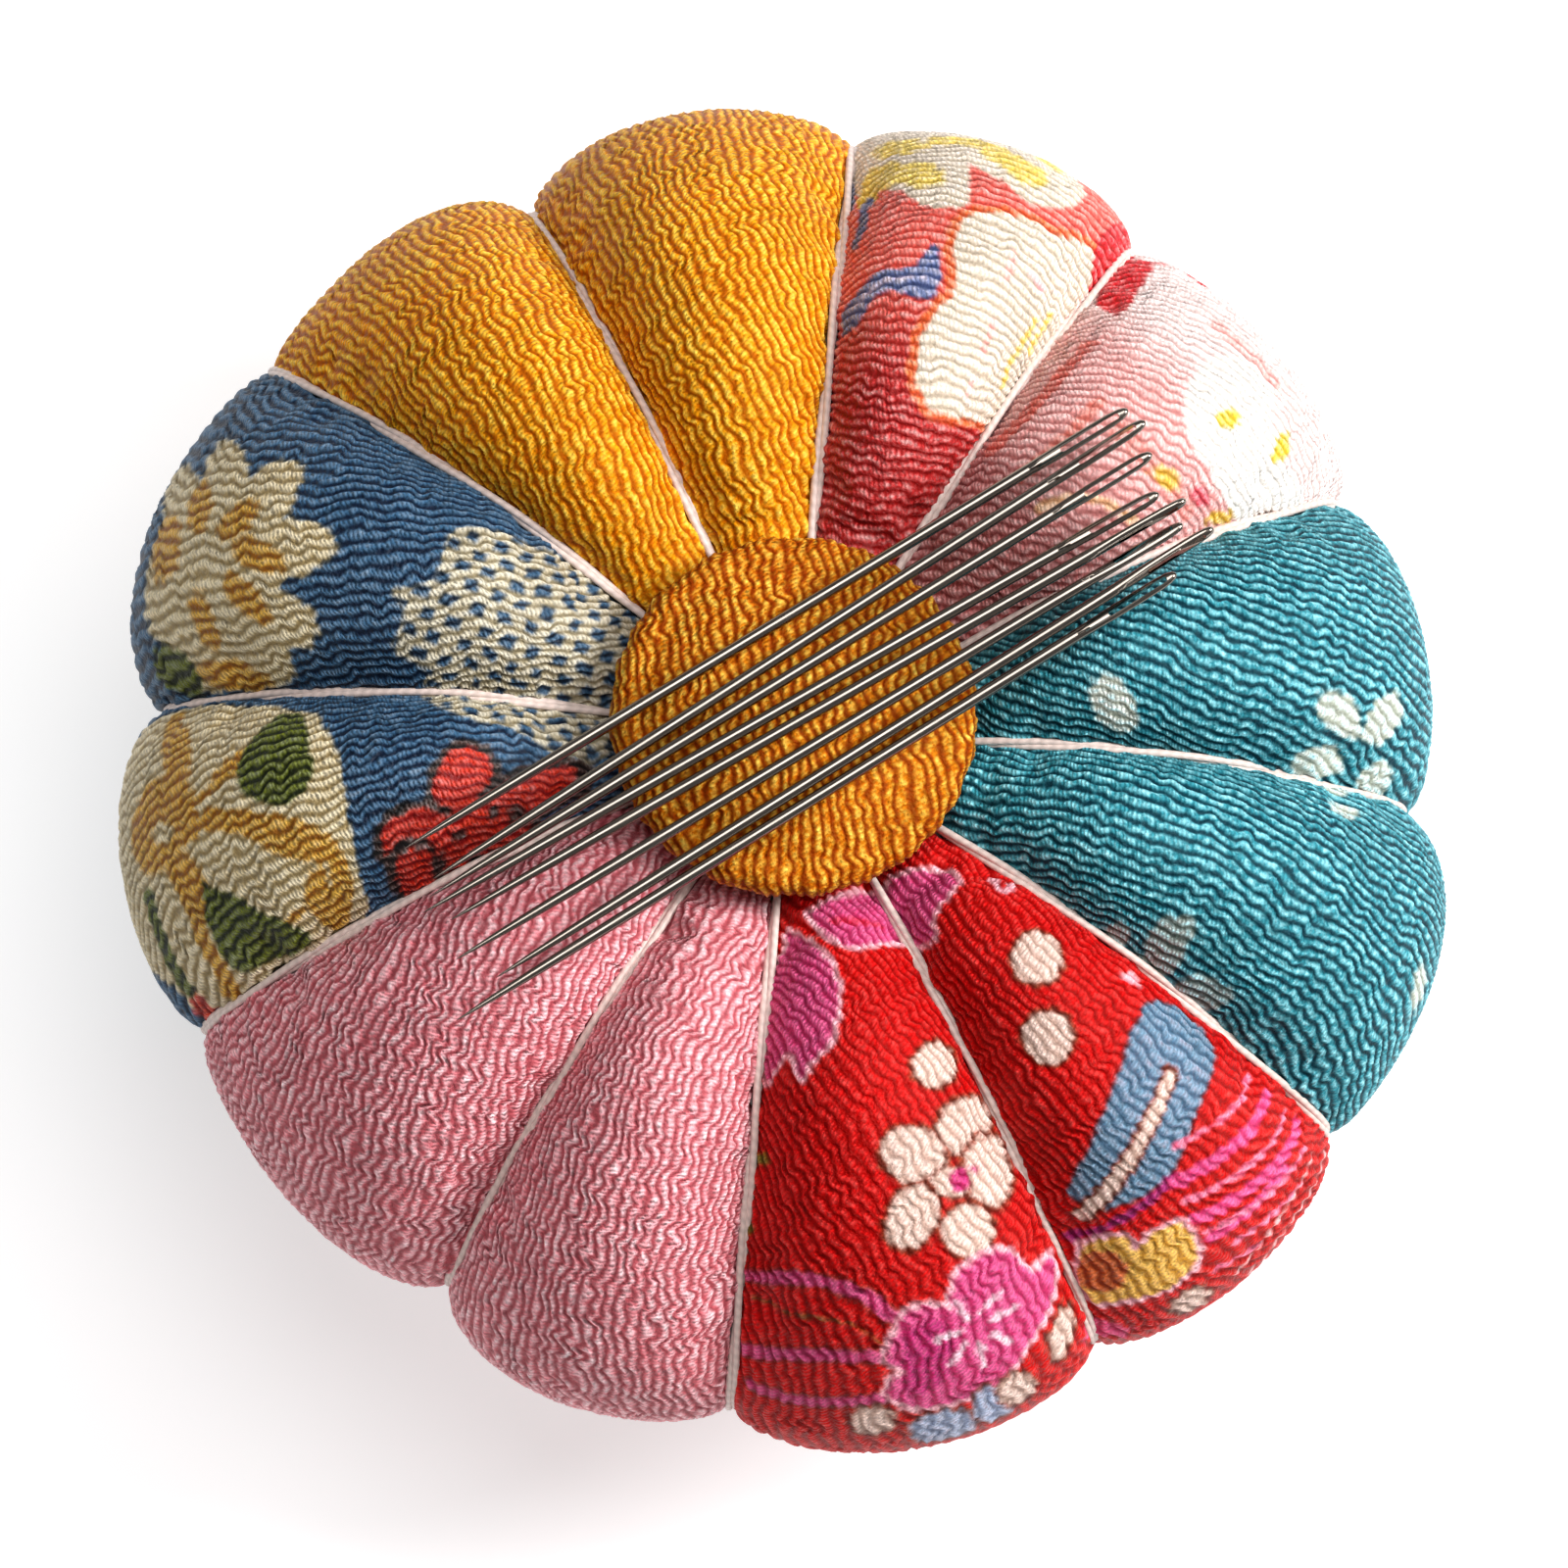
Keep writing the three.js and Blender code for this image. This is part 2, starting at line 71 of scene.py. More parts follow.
MM = 0.001
GORE_NAMES = ["cloud", "mustard", "blue_floral", "pink", "red_floral", "teal"]
GORE_NODES = ["cover_gore_" + name for name in GORE_NAMES]

# ---- places taken from the frame ----

button_low, button_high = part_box("button_cover")
POLE = Vector(((button_low.x + button_high.x) / 2, (button_low.y + button_high.y) / 2, 0))
COVER_BOTTOM = min(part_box(node)[0].z for node in GORE_NODES)
CUSHION_HEIGHT = (max(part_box(node)[1].z for node in GORE_NODES) - COVER_BOTTOM) / MM


def level(z):
    """A height in the frame as millimetres above the cover's underside."""
    return (z - COVER_BOTTOM) / MM


# ---- the lobed surface, as the CAD has it ----

GROOVE_DEGREES = np.array([26, 57, 84.5, 115, 142.5, 175, 204.5, 236.8, 264.5, 297.2, 325, 355.5])
GROOVE_REACH = np.array([36.4, 37.7, 38.3, 37.5, 39.8, 37.9, 38.8, 37.6, 39.1, 39.3, 39.1, 36.8])
LOBE_REACH = np.array([39, 40.5, 41, 41, 41.8, 41.2, 40.5, 41.5, 42.5, 41.6, 40.9, 39])
LOBES = 12
CREST_RADIUS = 40.6
GROOVE_RADIUS = 37.7
HOLE_RADIUS = 2.6
CREST_OUTLINE = [
    (HOLE_RADIUS, 24.05), (11.5, 29), (21.5, CUSHION_HEIGHT), (33.5, 27.75),
    (CREST_RADIUS, 15.95), (33, 2.95), (20, 0), (HOLE_RADIUS, 0.85),
]
GROOVE_OUTLINE = [
    (HOLE_RADIUS, 23.65), (11.5, 27), (21.5, 28.1), (31.8, 23.05),
    (GROOVE_RADIUS, 15.45), (31.5, 5.05), (20, 1.45), (HOLE_RADIUS, 1.25),
]


def spline(points, t):
    """Points of a uniform Catmull-Rom curve at t from 0 to 1."""
    points = np.array(points, float)
    spans = len(points) - 1
    place = np.clip(t, 0, 1) * spans
    index = np.minimum(place.astype(int), spans - 1)
    f = (place - index)[..., None]
    before, start = points[np.maximum(index - 1, 0)], points[index]
    end, after = points[index + 1], points[np.minimum(index + 2, spans)]
    slope0, slope1 = (end - before) / 2, (after - start) / 2
    return (
        (2 * f**3 - 3 * f**2 + 1) * start + (f**3 - 2 * f**2 + f) * slope0
        + (3 * f**2 - 2 * f**3) * end + (f**3 - f**2) * slope1
    )


def reached(outline, widest, reach, t):
    """Radius and height along an outline that is drawn out to a reach."""
    points = spline(outline, t)
    points[..., 0] += (reach - widest) * (points[..., 0] / widest) ** 2
    return points


def groove_line(index, t):
    return reached(GROOVE_OUTLINE, GROOVE_RADIUS, GROOVE_REACH[index % LOBES], t)


def crest_line(index, t):
    return reached(CREST_OUTLINE, CREST_RADIUS, LOBE_REACH[index % LOBES], t)


def groove_angle(index):
    return math.radians(GROOVE_DEGREES[index % LOBES] + 360 * (index // LOBES))


def cylindrical(radius, angle, height):
    return np.stack([radius * np.cos(angle), radius * np.sin(angle), height], -1)


def lobe_surface(index, across, t, seam_before=0.0, seam_after=0.0):
    """Points of a lobe: across from 0 to 1 between its grooves, t from the top hole to the bottom hole."""
    groove = groove_line(index, t) * (1 - across[..., None]) + groove_line(index + 1, t) * across[..., None]
    swell = (np.clip(np.sin(np.pi * across), 0, 1) ** 0.65)[..., None]
    point = groove + (crest_line(index, t) - groove) * swell
    radius, height = point[..., 0], point[..., 1]
    start = groove_angle(index) + seam_before / radius
    end = groove_angle(index + 1) - seam_after / radius
    return cylindrical(radius, start + (end - start) * across, height)


# ---- small numerical tools ----

LATTICE = np.random.RandomState(11).uniform(-1, 1, (97, 97))


def noise(x, y, layer):
    """Smooth value noise between -1 and 1; each use has its own layers."""
    x = np.asarray(x, float) + 31.7 * layer
    y = np.asarray(y, float) + 17.9 * layer
    column, row = np.floor(x).astype(int), np.floor(y).astype(int)
    fx, fy = x - column, y - row
    fx = fx * fx * fx * (fx * (fx * 6 - 15) + 10)
    fy = fy * fy * fy * (fy * (fy * 6 - 15) + 10)

    def corner(i, j):
        return LATTICE[(column + i) % 97, (row + j) % 97]

    low = corner(0, 0) * (1 - fx) + corner(1, 0) * fx
    high = corner(0, 1) * (1 - fx) + corner(1, 1) * fx
    return low * (1 - fy) + high * fy


def smooth(low, high, value):
    """0 below low, 1 above high, and an S-curve between."""
    share = np.clip((value - low) / (high - low), 0, 1)
    return share * share * (3 - 2 * share)


def turned(x, y, turn):
    """Places measured along and square to a direction turned by an angle."""
    return x * math.cos(turn) + y * math.sin(turn), y * math.cos(turn) - x * math.sin(turn)


def grid_normals(grid):
    down = np.gradient(grid, axis=0)
    along = np.gradient(grid, axis=1)
    normal = np.cross(down, along)
    return normal / np.maximum(np.linalg.norm(normal, axis=-1, keepdims=True), 1e-9)


def unit(vectors):
    return vectors / np.linalg.norm(vectors, axis=-1, keepdims=True)


def run_along(path):
    """The distance along a path from its start to each of its points."""
    return np.concatenate([[0], np.cumsum(np.linalg.norm(np.diff(path, axis=0), axis=1))])


def row_runs(grid):
    """The distance along each row of a grid from its start to each of its points."""
    steps = np.linalg.norm(np.diff(grid, axis=1), axis=-1)
    return np.concatenate([np.zeros((len(grid), 1)), np.cumsum(steps, 1)], 1)


def to_frame(points):
    """Millimetres round the button's axis, from the cover's underside, as metres in the frame."""
    return np.asarray(points) * MM + np.array([POLE.x, POLE.y, COVER_BOTTOM])


def add_object(name, data):
    added = bpy.data.objects.new(name, data)
    bpy.context.scene.collection.objects.link(added)
    return added


def make_piece(name, points, faces, material, smooth_shaded=True):
    mesh = bpy.data.meshes.new(name)
    mesh.from_pydata(np.asarray(points, float).tolist(), [], faces)
    mesh.polygons.foreach_set("use_smooth", [smooth_shaded] * len(mesh.polygons))
    mesh.materials.append(material)
    mesh.update()
    return add_object(name, mesh)


def stand_for(piece, slot, *nodes, body="cushion"):
    """Hide the CAD nodes a piece stands for and attach the piece to the body it rides on; the material slot
    is not used.
    """
    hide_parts(*nodes)
    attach(piece, body)


def set_attribute(piece, name, kind, values):
    attribute = piece.data.attributes.new(name, kind, "POINT")
    key = {"FLOAT": "value", "FLOAT_COLOR": "color", "FLOAT_VECTOR": "vector"}[kind]
    attribute.data.foreach_set(key, np.asarray(values, np.float32).ravel())


def grid_faces(rows, columns, wrap=False, offset=0, flip=False):
    """Quads over a grid of points; wrap joins the last column to the first."""
    r, c = np.meshgrid(np.arange(rows - 1), np.arange(columns if wrap else columns - 1), indexing="ij")
    a = r * columns + c
    b = r * columns + (c + 1) % columns
    quads = np.stack([a, b, b + columns, a + columns], -1).reshape(-1, 4) + offset
    return (quads[:, ::-1] if flip else quads).tolist()


def cap_faces(sides, last, flip=False):
    """The two end faces of a tube of rings; last is the first point of the last ring."""
    caps = [list(range(sides)), [last + k for k in reversed(range(sides))]]
    return [cap[::-1] for cap in caps] if flip else caps


def ring_normals(grid):
    """Normals of a grid whose last column meets its first."""
    return grid_normals(np.concatenate([grid[:, -1:], grid, grid[:, :1]], 1))[:, 1:-1]


def path_points(path, run, places):
    """Points of a path at distances from its start."""
    return np.stack([np.interp(places, run, values) for values in path.T], 1)


def circle(sides):
    return np.arange(sides) * 2 * np.pi / sides


# ---- materials ----


class Shader:
    """One Principled material and short ways to add nodes to it."""

    def __init__(self, name, **values):
        self.material = bpy.data.materials.new(name)
        self.material.use_nodes = True
        self.tree = self.material.node_tree
        self.bsdf = self.tree.nodes["Principled BSDF"]
        for socket, value in values.items():
            self.put(value, self.bsdf.inputs[socket.replace("_", " ")])

    def add(self, kind, **settings):
        node = self.tree.nodes.new("ShaderNode" + kind)
        for key, value in settings.items():
            setattr(node, key, value)
        return node

    def put(self, value, socket):
        """Link an output or set a value; a colour of three parts gets an alpha of 1."""
        if isinstance(value, bpy.types.NodeSocket):
            self.tree.links.new(value, socket)
        else:
            socket.default_value = (*value, 1) if isinstance(value, (tuple, list)) else value

    def math(self, operation, first, second=0.0):
        node = self.add("Math", operation=operation)
        for socket, value in zip(node.inputs, (first, second)):
            self.put(value, socket)
        return node.outputs[0]

    def times(self, first, second):
        return self.math("MULTIPLY", first, second)

    def plus(self, first, second):
        return self.math("ADD", first, second)

    def attribute(self, name, output="Fac"):
        return self.add("Attribute", attribute_name=name).outputs[output]

    def fit(self, value, low, high, to_low, to_high):
        node = self.add("MapRange")
        for socket, given in zip(node.inputs, (value, low, high, to_low, to_high)):
            self.put(given, socket)
        return node.outputs[0]

    def mix(self, share, first, second, blend="MIX"):
        node = self.add("Mix", data_type="RGBA", blend_type=blend)
        self.put(share, node.inputs[0])
        self.put(first, node.inputs[6])
        self.put(second, node.inputs[7])
        return node.outputs[2]

    def grey(self, value):
        node = self.add("CombineColor")
        for socket in node.inputs:
            self.put(value, socket)
        return node.outputs[0]

    def noise(self, scale, detail):
        node = self.add("TexNoise")
        node.inputs["Scale"].default_value = scale
        node.inputs["Detail"].default_value = detail
        self.put(self.add("TexCoord").outputs["Object"], node.inputs["Vector"])
        return node.outputs[0]

    def relief(self, height, distance, strength):
        """Add fine relief, which is the last step, and give the finished material."""
        node = self.add("Bump")
        node.inputs["Distance"].default_value = distance
        node.inputs["Strength"].default_value = strength
        self.put(height, node.inputs["Height"])
        self.put(node.outputs[0], self.bsdf.inputs["Normal"])
        return self.material

    def paint(self, colour, tone=None):
        """Set the base colour, made lighter or darker by a tone where there is one."""
        if tone is not None:
            colour = self.mix(1.0, colour, self.grey(tone), "MULTIPLY")
        self.put(colour, self.bsdf.inputs["Base Color"])


RIDGE_SHARPNESS = 1.7  # above 1, narrow cords stand between broad valleys


def crepe_material(name, sheen_and_painted_light, painted_valley_shade_gamma, painted_highlight_strength):
    """Silk crepe: the print, with painted shade that makes it darker and more saturated between the ridges,
    and a painted highlight that makes it paler on them.
    """
    shader = Shader(name, Roughness=0.5, Sheen_Weight=0.02, Sheen_Roughness=0.4, Sheen_Tint=sheen_and_painted_light,
                    Specular_IOR_Level=0.28, Specular_Tint=sheen_and_painted_light)
    grain = shader.add("SeparateXYZ")
    shader.put(shader.attribute("grain", "Vector"), grain.inputs[0])
    along, phase, strength = grain.outputs
    cosine = shader.math("ABSOLUTE", shader.math("COSINE", shader.times(phase, math.pi)))
    ridge = shader.times(shader.math("POWER", cosine, RIDGE_SHARPNESS), strength)
    fibre, speck, mottle = shader.noise(4200, 3), shader.noise(2300, 4), shader.noise(260, 3)
    # Yarns cross each ridge at a slant, unevenly.
    bead_phase = shader.plus(shader.times(along, 21.0), shader.times(phase, 6.0))
    bead_phase = shader.plus(bead_phase, shader.times(speck, 9.0))
    beads = shader.fit(shader.math("SINE", bead_phase), -1, 1, 0, 1)
    dye = shader.attribute("print", "Color")
    # Painted shade: between the ridges the print is taken darker and more saturated by a gamma.
    shaded_dye = shader.add("Gamma")
    shader.put(dye, shaded_dye.inputs[0])
    shaded_dye.inputs[1].default_value = painted_valley_shade_gamma
    uneven = shader.fit(speck, 0.3, 0.7, -0.3, 0.3)
    depth = shader.fit(shader.plus(ridge, uneven), 0.05, 0.7, 0, 1)
    colour = shader.mix(depth, shaded_dye.outputs[0], dye)
    # Painted highlight: the ridge tops are painted paler, towards the sheen tint, in specks.
    painted_glint = shader.times(shader.math("POWER", ridge, 1.6), shader.fit(speck, 0.42, 0.68, 0.1, 2.2))
    colour = shader.mix(shader.times(painted_glint, painted_highlight_strength), colour, sheen_and_painted_light)
    beaded = shader.times(beads, cosine)
    # Painted shade: the colour is darker in the valleys and lighter on the ridges; the beads' tone is
    # partly yarn texture and partly painted shade of their relief; mottle and fibre are random tone.
    tone = shader.times(shader.fit(ridge, 0.0, 0.6, 0.72, 1.08), shader.fit(beaded, 0, 1, 0.82, 1.16))
    tone = shader.times(tone, shader.fit(mottle, 0.3, 0.7, 0.9, 1.08))
    shader.paint(colour, shader.times(tone, shader.fit(fibre, 0.3, 0.7, 0.78, 1.2)))
    height = shader.plus(shader.times(ridge, 1.3), shader.times(beaded, 0.45))
    height = shader.plus(height, shader.times(speck, 2.4))
    return shader.relief(height, 0.00012, 0.9)


def thread_material(name, colour):
    """Twisted sewing thread: fine fibres in a helix round each ply."""
    shader = Shader(name, Roughness=0.5, Sheen_Weight=0.3)
    wind = shader.attribute("wind")
    fibres = shader.fit(shader.math("SINE", wind), -1, 1, 0, 1)
    fluff = shader.noise(5000, 3)
    tone = shader.fit(fibres, 0, 1, 0.86, 1.04)
    tone = shader.times(tone, shader.fit(fluff, 0.3, 0.7, 0.93, 1.05))
    shader.paint(colour, tone)
    return shader.relief(shader.plus(fibres, fluff), 0.00003, 0.5)


def felt_material(name, colour):
    shader = Shader(name, Roughness=0.95, Sheen_Weight=0.1, Sheen_Roughness=0.6)
    tufts, clouds = shader.noise(900, 6), shader.noise(120, 3)
    tone = shader.times(shader.fit(tufts, 0.25, 0.75, 0.6, 1.3), shader.fit(clouds, 0.3, 0.7, 0.85, 1.1))
    shader.paint(colour, tone)
    return shader.relief(tufts, 0.0003, 0.8)


def elastic_material(name, colour):
    """Knitted elastic: ribs run along the band, crossed by fine courses."""
    shader = Shader(name, Roughness=0.8, Sheen_Weight=0.3)
    rib, course = shader.attribute("rib"), shader.attribute("course")
    courses = shader.fit(shader.math("SINE", shader.times(course, 9.0)), -1, 1, 0, 1)
    fluff = shader.noise(3500, 3)
    relief = shader.plus(shader.times(courses, 0.6), fluff)
    # Painted shade: the band is darker between its ribs and lighter on them; the courses' tone is partly
    # knit texture and partly painted shade of their relief, with random fluff.
    tone = shader.times(shader.fit(rib, 0, 1, 0.5, 1.25), shader.fit(relief, 0.3, 1.3, 0.75, 1.3))
    shader.paint(colour, tone)
    return shader.relief(relief, 0.00012, 0.9)


def metal_material(name, colour, roughness, scratch):
    shader = Shader(name, Metallic=1.0)
    streaks, wear = shader.noise(700, 4), shader.noise(90, 2)
    worn = [part * 0.72 for part in colour]
    shader.paint(shader.mix(shader.fit(wear, 0.35, 0.75, 0, 0.35), colour, worn))
    dull = shader.fit(streaks, 0.3, 0.7, roughness * 0.7, roughness * 1.5)
    shader.put(dull, shader.bsdf.inputs["Roughness"])
    return shader.relief(streaks, scratch, 0.4)


def plastic_material(name, colour):
    shader = Shader(name, Roughness=0.45)
    clouds = shader.fit(shader.noise(250, 3), 0.3, 0.7, 0, 1)
    shaded = [part * 0.86 for part in colour]
    shader.paint(shader.mix(clouds, colour, shaded))
    return shader.relief(shader.noise(2500, 2), 0.00003, 0.5)


def fibre_material(name):
    shader = Shader(name, Roughness=0.95, Sheen_Weight=0.5)
    strands = shader.noise(1400, 8)
    shader.paint(shader.mix(shader.fit(strands, 0.3, 0.7, 0, 1), (0.75, 0.73, 0.69), (0.95, 0.94, 0.9)))
    return shader.relief(strands, 0.0006, 0.9)


# For each fabric: its sheen tint, which is also the colour of the highlight painted on its ridges; how
# strongly painted shade darkens its colour between the ridges; and how strong the painted highlight on the
# ridges is.
CREPE_SHEEN_AND_PAINTED_LIGHT = {
    "cloud": ((1.0, 0.84, 0.80), 1.55, 0.2), "mustard": ((1.0, 0.74, 0.12), 1.75, 0.42),
    "blue_floral": ((0.86, 0.9, 0.92), 1.95, 0.07), "pink": ((1.0, 0.78, 0.80), 1.8, 0.45),
    "red_floral": ((1.0, 0.30, 0.26), 1.5, 0.08), "teal": ((0.42, 0.90, 0.98), 2.2, 0.42),
}
CREPES = {name: crepe_material("crepe_" + name, *sheen_and_painted_light) for name, sheen_and_painted_light in CREPE_SHEEN_AND_PAINTED_LIGHT.items()}
THREAD = thread_material("pale_thread", (0.72, 0.57, 0.51))
FELT_THREAD = thread_material("felt_thread", (0.45, 0.05, 0.06))
STITCH_THREAD = thread_material("band_thread", (0.8, 0.76, 0.72))
FELT = felt_material("wool_felt", (0.33, 0.02, 0.03))
ELASTIC = elastic_material("black_elastic", (0.03, 0.028, 0.03))
STEEL = metal_material("needle_steel", (0.25, 0.215, 0.185), 0.17, 0.000005)
PRESSED_METAL = metal_material("pressed_metal", (0.72, 0.72, 0.71), 0.35, 0.00003)
GUARD = plastic_material("guard_plastic", (0.85, 0.85, 0.82))
FIBRE = fibre_material("stuffing_fibre")

# ---- crepe ridges ----

RIDGE_HEIGHT = 0.24
FAN_CENTRE = 30
# For each fabric: the direction of its ridges from its gore's middle groove, in degrees; how many degrees
# that direction turns for each millimetre across the gore; the ridges' pitch; and how uneven they are.
GRAIN = {
    "cloud": (-72, 0.3, 0.74, 1), "mustard": (2, 0.1, 0.72, 1.1), "blue_floral": (11, 0.9, 0.72, 1.1),
    "pink": (10, 0.2, 0.68, 1.35), "red_floral": (14, 0.6, 0.76, 1.1), "teal": (-17, 0.3, 0.7, 0.85),
    "button": (101, 0, 0.72, 1.1),
}


def crepe_ridges(x, y, grain, layer):
    """Ridge height from 0 to 1, and what the crepe's nodes need: place along, phase across, strength."""
    direction, fan, pitch, uneven = grain
    turn = np.radians(direction + fan * y)
    x = x - FAN_CENTRE
    start = math.radians(direction)
    along = x * math.cos(start) + y * math.sin(start)
    aside = y * math.cos(start) - x * np.sin(turn)
    drift = 0.5 * noise(along / 5.5, aside / 7, layer)
    wander = 0.26 * uneven * noise(along / 0.8, aside / 2.1, layer + 1)
    jitter = 0.11 * uneven**2 * noise(along / 0.5, aside / 0.8, layer + 2)
    phase = (aside + drift + wander + jitter) / pitch
    strength = 1 - 0.17 * uneven * (1 - noise(along / 1.2, aside / 0.9, layer + 3))
    ridge = strength * np.abs(np.cos(np.pi * phase)) ** RIDGE_SHARPNESS
    return ridge, np.stack([along, phase, strength], -1)


# ---- camera's view, which also says where the prints fall ----

VIEW_ELEVATION = math.radians(78.5)
VIEW_DISTANCE = 1.3
VIEW_WIDTH = 0.0944
VIEW_TARGET = Vector((POLE.x - 0.00057, POLE.y - 0.00107, COVER_BOTTOM + 0.0158))
VIEW_TOWARD = Vector((0, -math.cos(VIEW_ELEVATION), math.sin(VIEW_ELEVATION)))
BUTTON_SEEN = (0.77, 0.41)  # where the button's middle appears, in millimetres from the view's middle


def seen_places(grid):
    """Where points appear in the view, in millimetres right of and above the button's middle."""
    points = to_frame(grid) - np.array(VIEW_TARGET)
    up = np.array([0, math.sin(VIEW_ELEVATION), math.cos(VIEW_ELEVATION)])
    nearer = VIEW_DISTANCE / (VIEW_DISTANCE - points @ np.array(VIEW_TOWARD))
    right, above = points[..., 0] * nearer / MM, points @ up * nearer / MM
    return np.stack([right - BUTTON_SEEN[0], above - BUTTON_SEEN[1]], -1)


# ---- prints ----


def rgb(red, green, blue):
    """Linear colour of a screen colour from 0 to 255."""
    share = np.array([red, green, blue]) / 255
    return np.where(share < 0.04045, share / 12.92, ((share + 0.055) / 1.055) ** 2.4)


FACING = 0.12  # cloth that turns further from the view than this isn't matched to places in it
NEAR = 1.5  # millimetres of cloth round a place that say how the view foreshortens it
LEAST_SHARE = 0.5  # shapes aren't stretched by more than 1 over this
MIDDLE_GROOVE = 0.4  # where one lobe's colours end and the next one's begin


class Print:
    """The print on one gore. Each shape is painted over the ones before it.

    Shapes are given where the view shows them, in millimetres from the button's middle, and drawn on
    the flat cloth: x is the distance down the gore, y the distance across it from its middle groove.
    """

    def __init__(self, gore, grid, x, y, ground):
        self.x, self.y = x, y
        self.turn = groove_angle(2 * gore + 1)
        facing = grid_normals(grid) @ np.array(VIEW_TOWARD) > FACING
        self.seen = seen_places(grid)[facing]
        self.cloth = np.stack([x[facing], y[facing]], -1)
        self.edge = 0.16 * noise(x / 0.45, y / 0.45, gore + 60)
        self.colour = np.broadcast_to(ground, (*x.shape, 3)).copy()

    def spot(self, place):
        """The place on the flat cloth that the view shows at a place."""
        return self.cloth[np.linalg.norm(self.seen - np.array(place, float), axis=1).argmin()]

    def blend(self, distance, colour, soft=0.14):
        share = 1 - smooth(-soft, soft, distance + self.edge)
        self.colour += (colour - self.colour) * share[..., None]

    def layer(self, distance, colour, rim, rim_width):
        """Colour inside an outline, over a rim that shows round it."""
        if rim is not None:
            self.blend(distance - rim_width, rim)
        self.blend(distance, colour)

    def oval(self, right, above, length, width, degrees, colour, rim=None, rim_width=0.28):
        """An ellipse of a length and width in millimetres and a turn in degrees, as the view shows it."""
        centre = self.spot((right, above))
        near = np.linalg.norm(self.cloth - centre, axis=1) < NEAR
        cloth, seen = self.cloth[near], self.seen[near]
        lean = np.linalg.lstsq(cloth - cloth.mean(0), seen - seen.mean(0), rcond=None)[0]
        left, share, right = np.linalg.svd(lean)
        lean = left @ np.diag(np.maximum(share, LEAST_SHARE)) @ right
        offset = np.stack([self.x - centre[0], self.y - centre[1]], -1) @ lean
        along, aside = turned(offset[..., 0], offset[..., 1], math.radians(degrees))
        half = np.array([length, width], float) / 2
        distance = (np.hypot(along / half[0], aside / half[1]) - 1) * half.min()
        self.layer(distance, colour, rim, rim_width)

    def ovals(self, colour, ovals, rim=None, rim_width=0.28):
        for oval in ovals:
            self.oval(*oval, colour, rim, rim_width)

    def shape(self, places, colour, rim=None, rim_width=0.3):
        """A closed shape through places."""
        corners = np.array([self.spot(place) for place in places])
        loop = spline(np.concatenate([corners, corners[:1]]), np.linspace(0, 1, 4 * len(corners) + 1))
        distance = np.full(self.x.shape, np.inf)
        inside = np.zeros(self.x.shape, bool)
        for (ax, ay), (bx, by) in zip(loop[:-1], loop[1:]):
            distance = np.minimum(distance, self.from_line(ax, ay, bx, by))
            crosses = (ay > self.y) != (by > self.y)
            rise = by - ay if by != ay else 1e-9
            inside ^= crosses & (self.x < (bx - ax) * (self.y - ay) / rise + ax)
        distance = np.where(inside, -distance, distance)
        self.layer(distance, colour, rim, rim_width)
        return distance

    def from_line(self, ax, ay, bx, by):
        span = max((bx - ax) ** 2 + (by - ay) ** 2, 1e-9)
        share = np.clip(((self.x - ax) * (bx - ax) + (self.y - ay) * (by - ay)) / span, 0, 1)
        return np.hypot(self.x - ax - share * (bx - ax), self.y - ay - share * (by - ay))

    def stroke(self, places, width, colour, rim=None, rim_width=0.22):
        """A line through places."""
        corners = np.array([self.spot(place) for place in places])
        line = spline(corners, np.linspace(0, 1, 5 * len(corners) - 4)) if len(corners) > 2 else corners
        distance = np.min([self.from_line(*a, *b) for a, b in zip(line[:-1], line[1:])], axis=0)
        self.layer(distance - width / 2, colour, rim, rim_width)

    def strokes(self, colour, strokes, rim=None, rim_width=0.22):
        """Lines, each given as its width and the places it goes through."""
        for width, *places in strokes:
            self.stroke(places, width, colour, rim, rim_width)

    def fade(self, start, end, colour, degrees, first_lobe=False):
        """A colour that comes in across the view from one distance to another."""
        centre = self.spot((0, 0))
        run = turned(self.x - centre[0], self.y - centre[1], math.radians(degrees) - self.turn)[0]
        share = smooth(start, end, run + 1.5 * noise(self.x / 4, self.y / 4, 3))
        if first_lobe:
            share = share * (1 - smooth(-0.14, 0.14, self.y - MIDDLE_GROOVE))
        self.colour += (colour - self.colour) * share[..., None]

    def first_lobe(self, colour):
        self.blend(self.y - MIDDLE_GROOVE, colour)


CREAM, OCHRE, LEAF = rgb(214, 198, 162), rgb(204, 158, 58), rgb(94, 102, 4)
BROWN, PETAL_WHITE = rgb(128, 58, 34), rgb(232, 205, 192)
MAGENTA, PALE_PINK = rgb(214, 84, 136), rgb(244, 186, 196)
STEEL_BLUE, SKY_BLUE = rgb(50, 90, 122), rgb(112, 148, 172)


def paint_teal(cloth):
    white, grey = rgb(222, 224, 214), rgb(168, 176, 170)
    cloth.ovals(white, [
        (19, 4.2, 4, 2.5, -63), (32.8, 3.7, 3.5, 2.2, -50), (35.4, 3.4, 3.5, 2, 60),
        (31.3, 0.7, 3.1, 1.8, 20), (34.9, -0.3, 2.5, 1.7, 50), (32.5, -0.8, 1.4, 0.8, 0),
        (32.9, -2.1, 1.8, 1.1, -20), (37.5, -12.7, 2.8, 1, 80),
    ])
    cloth.ovals(grey, [
        (22.2, -10.4, 3.7, 2.4, 70), (23.3, -9.4, 2.4, 1.4, 60), (24.4, -13, 3.5, 2, -12),
        (19.1, -9.7, 1.9, 1.5, 40), (20.3, -11.2, 1.2, 0.9, 0),
    ])


CHECK_PITCH, CHECK_ROW = 1.85, 1.15
CHECK_HALF_WIDTH, CHECK_HALF_DEPTH = 0.46, 0.36


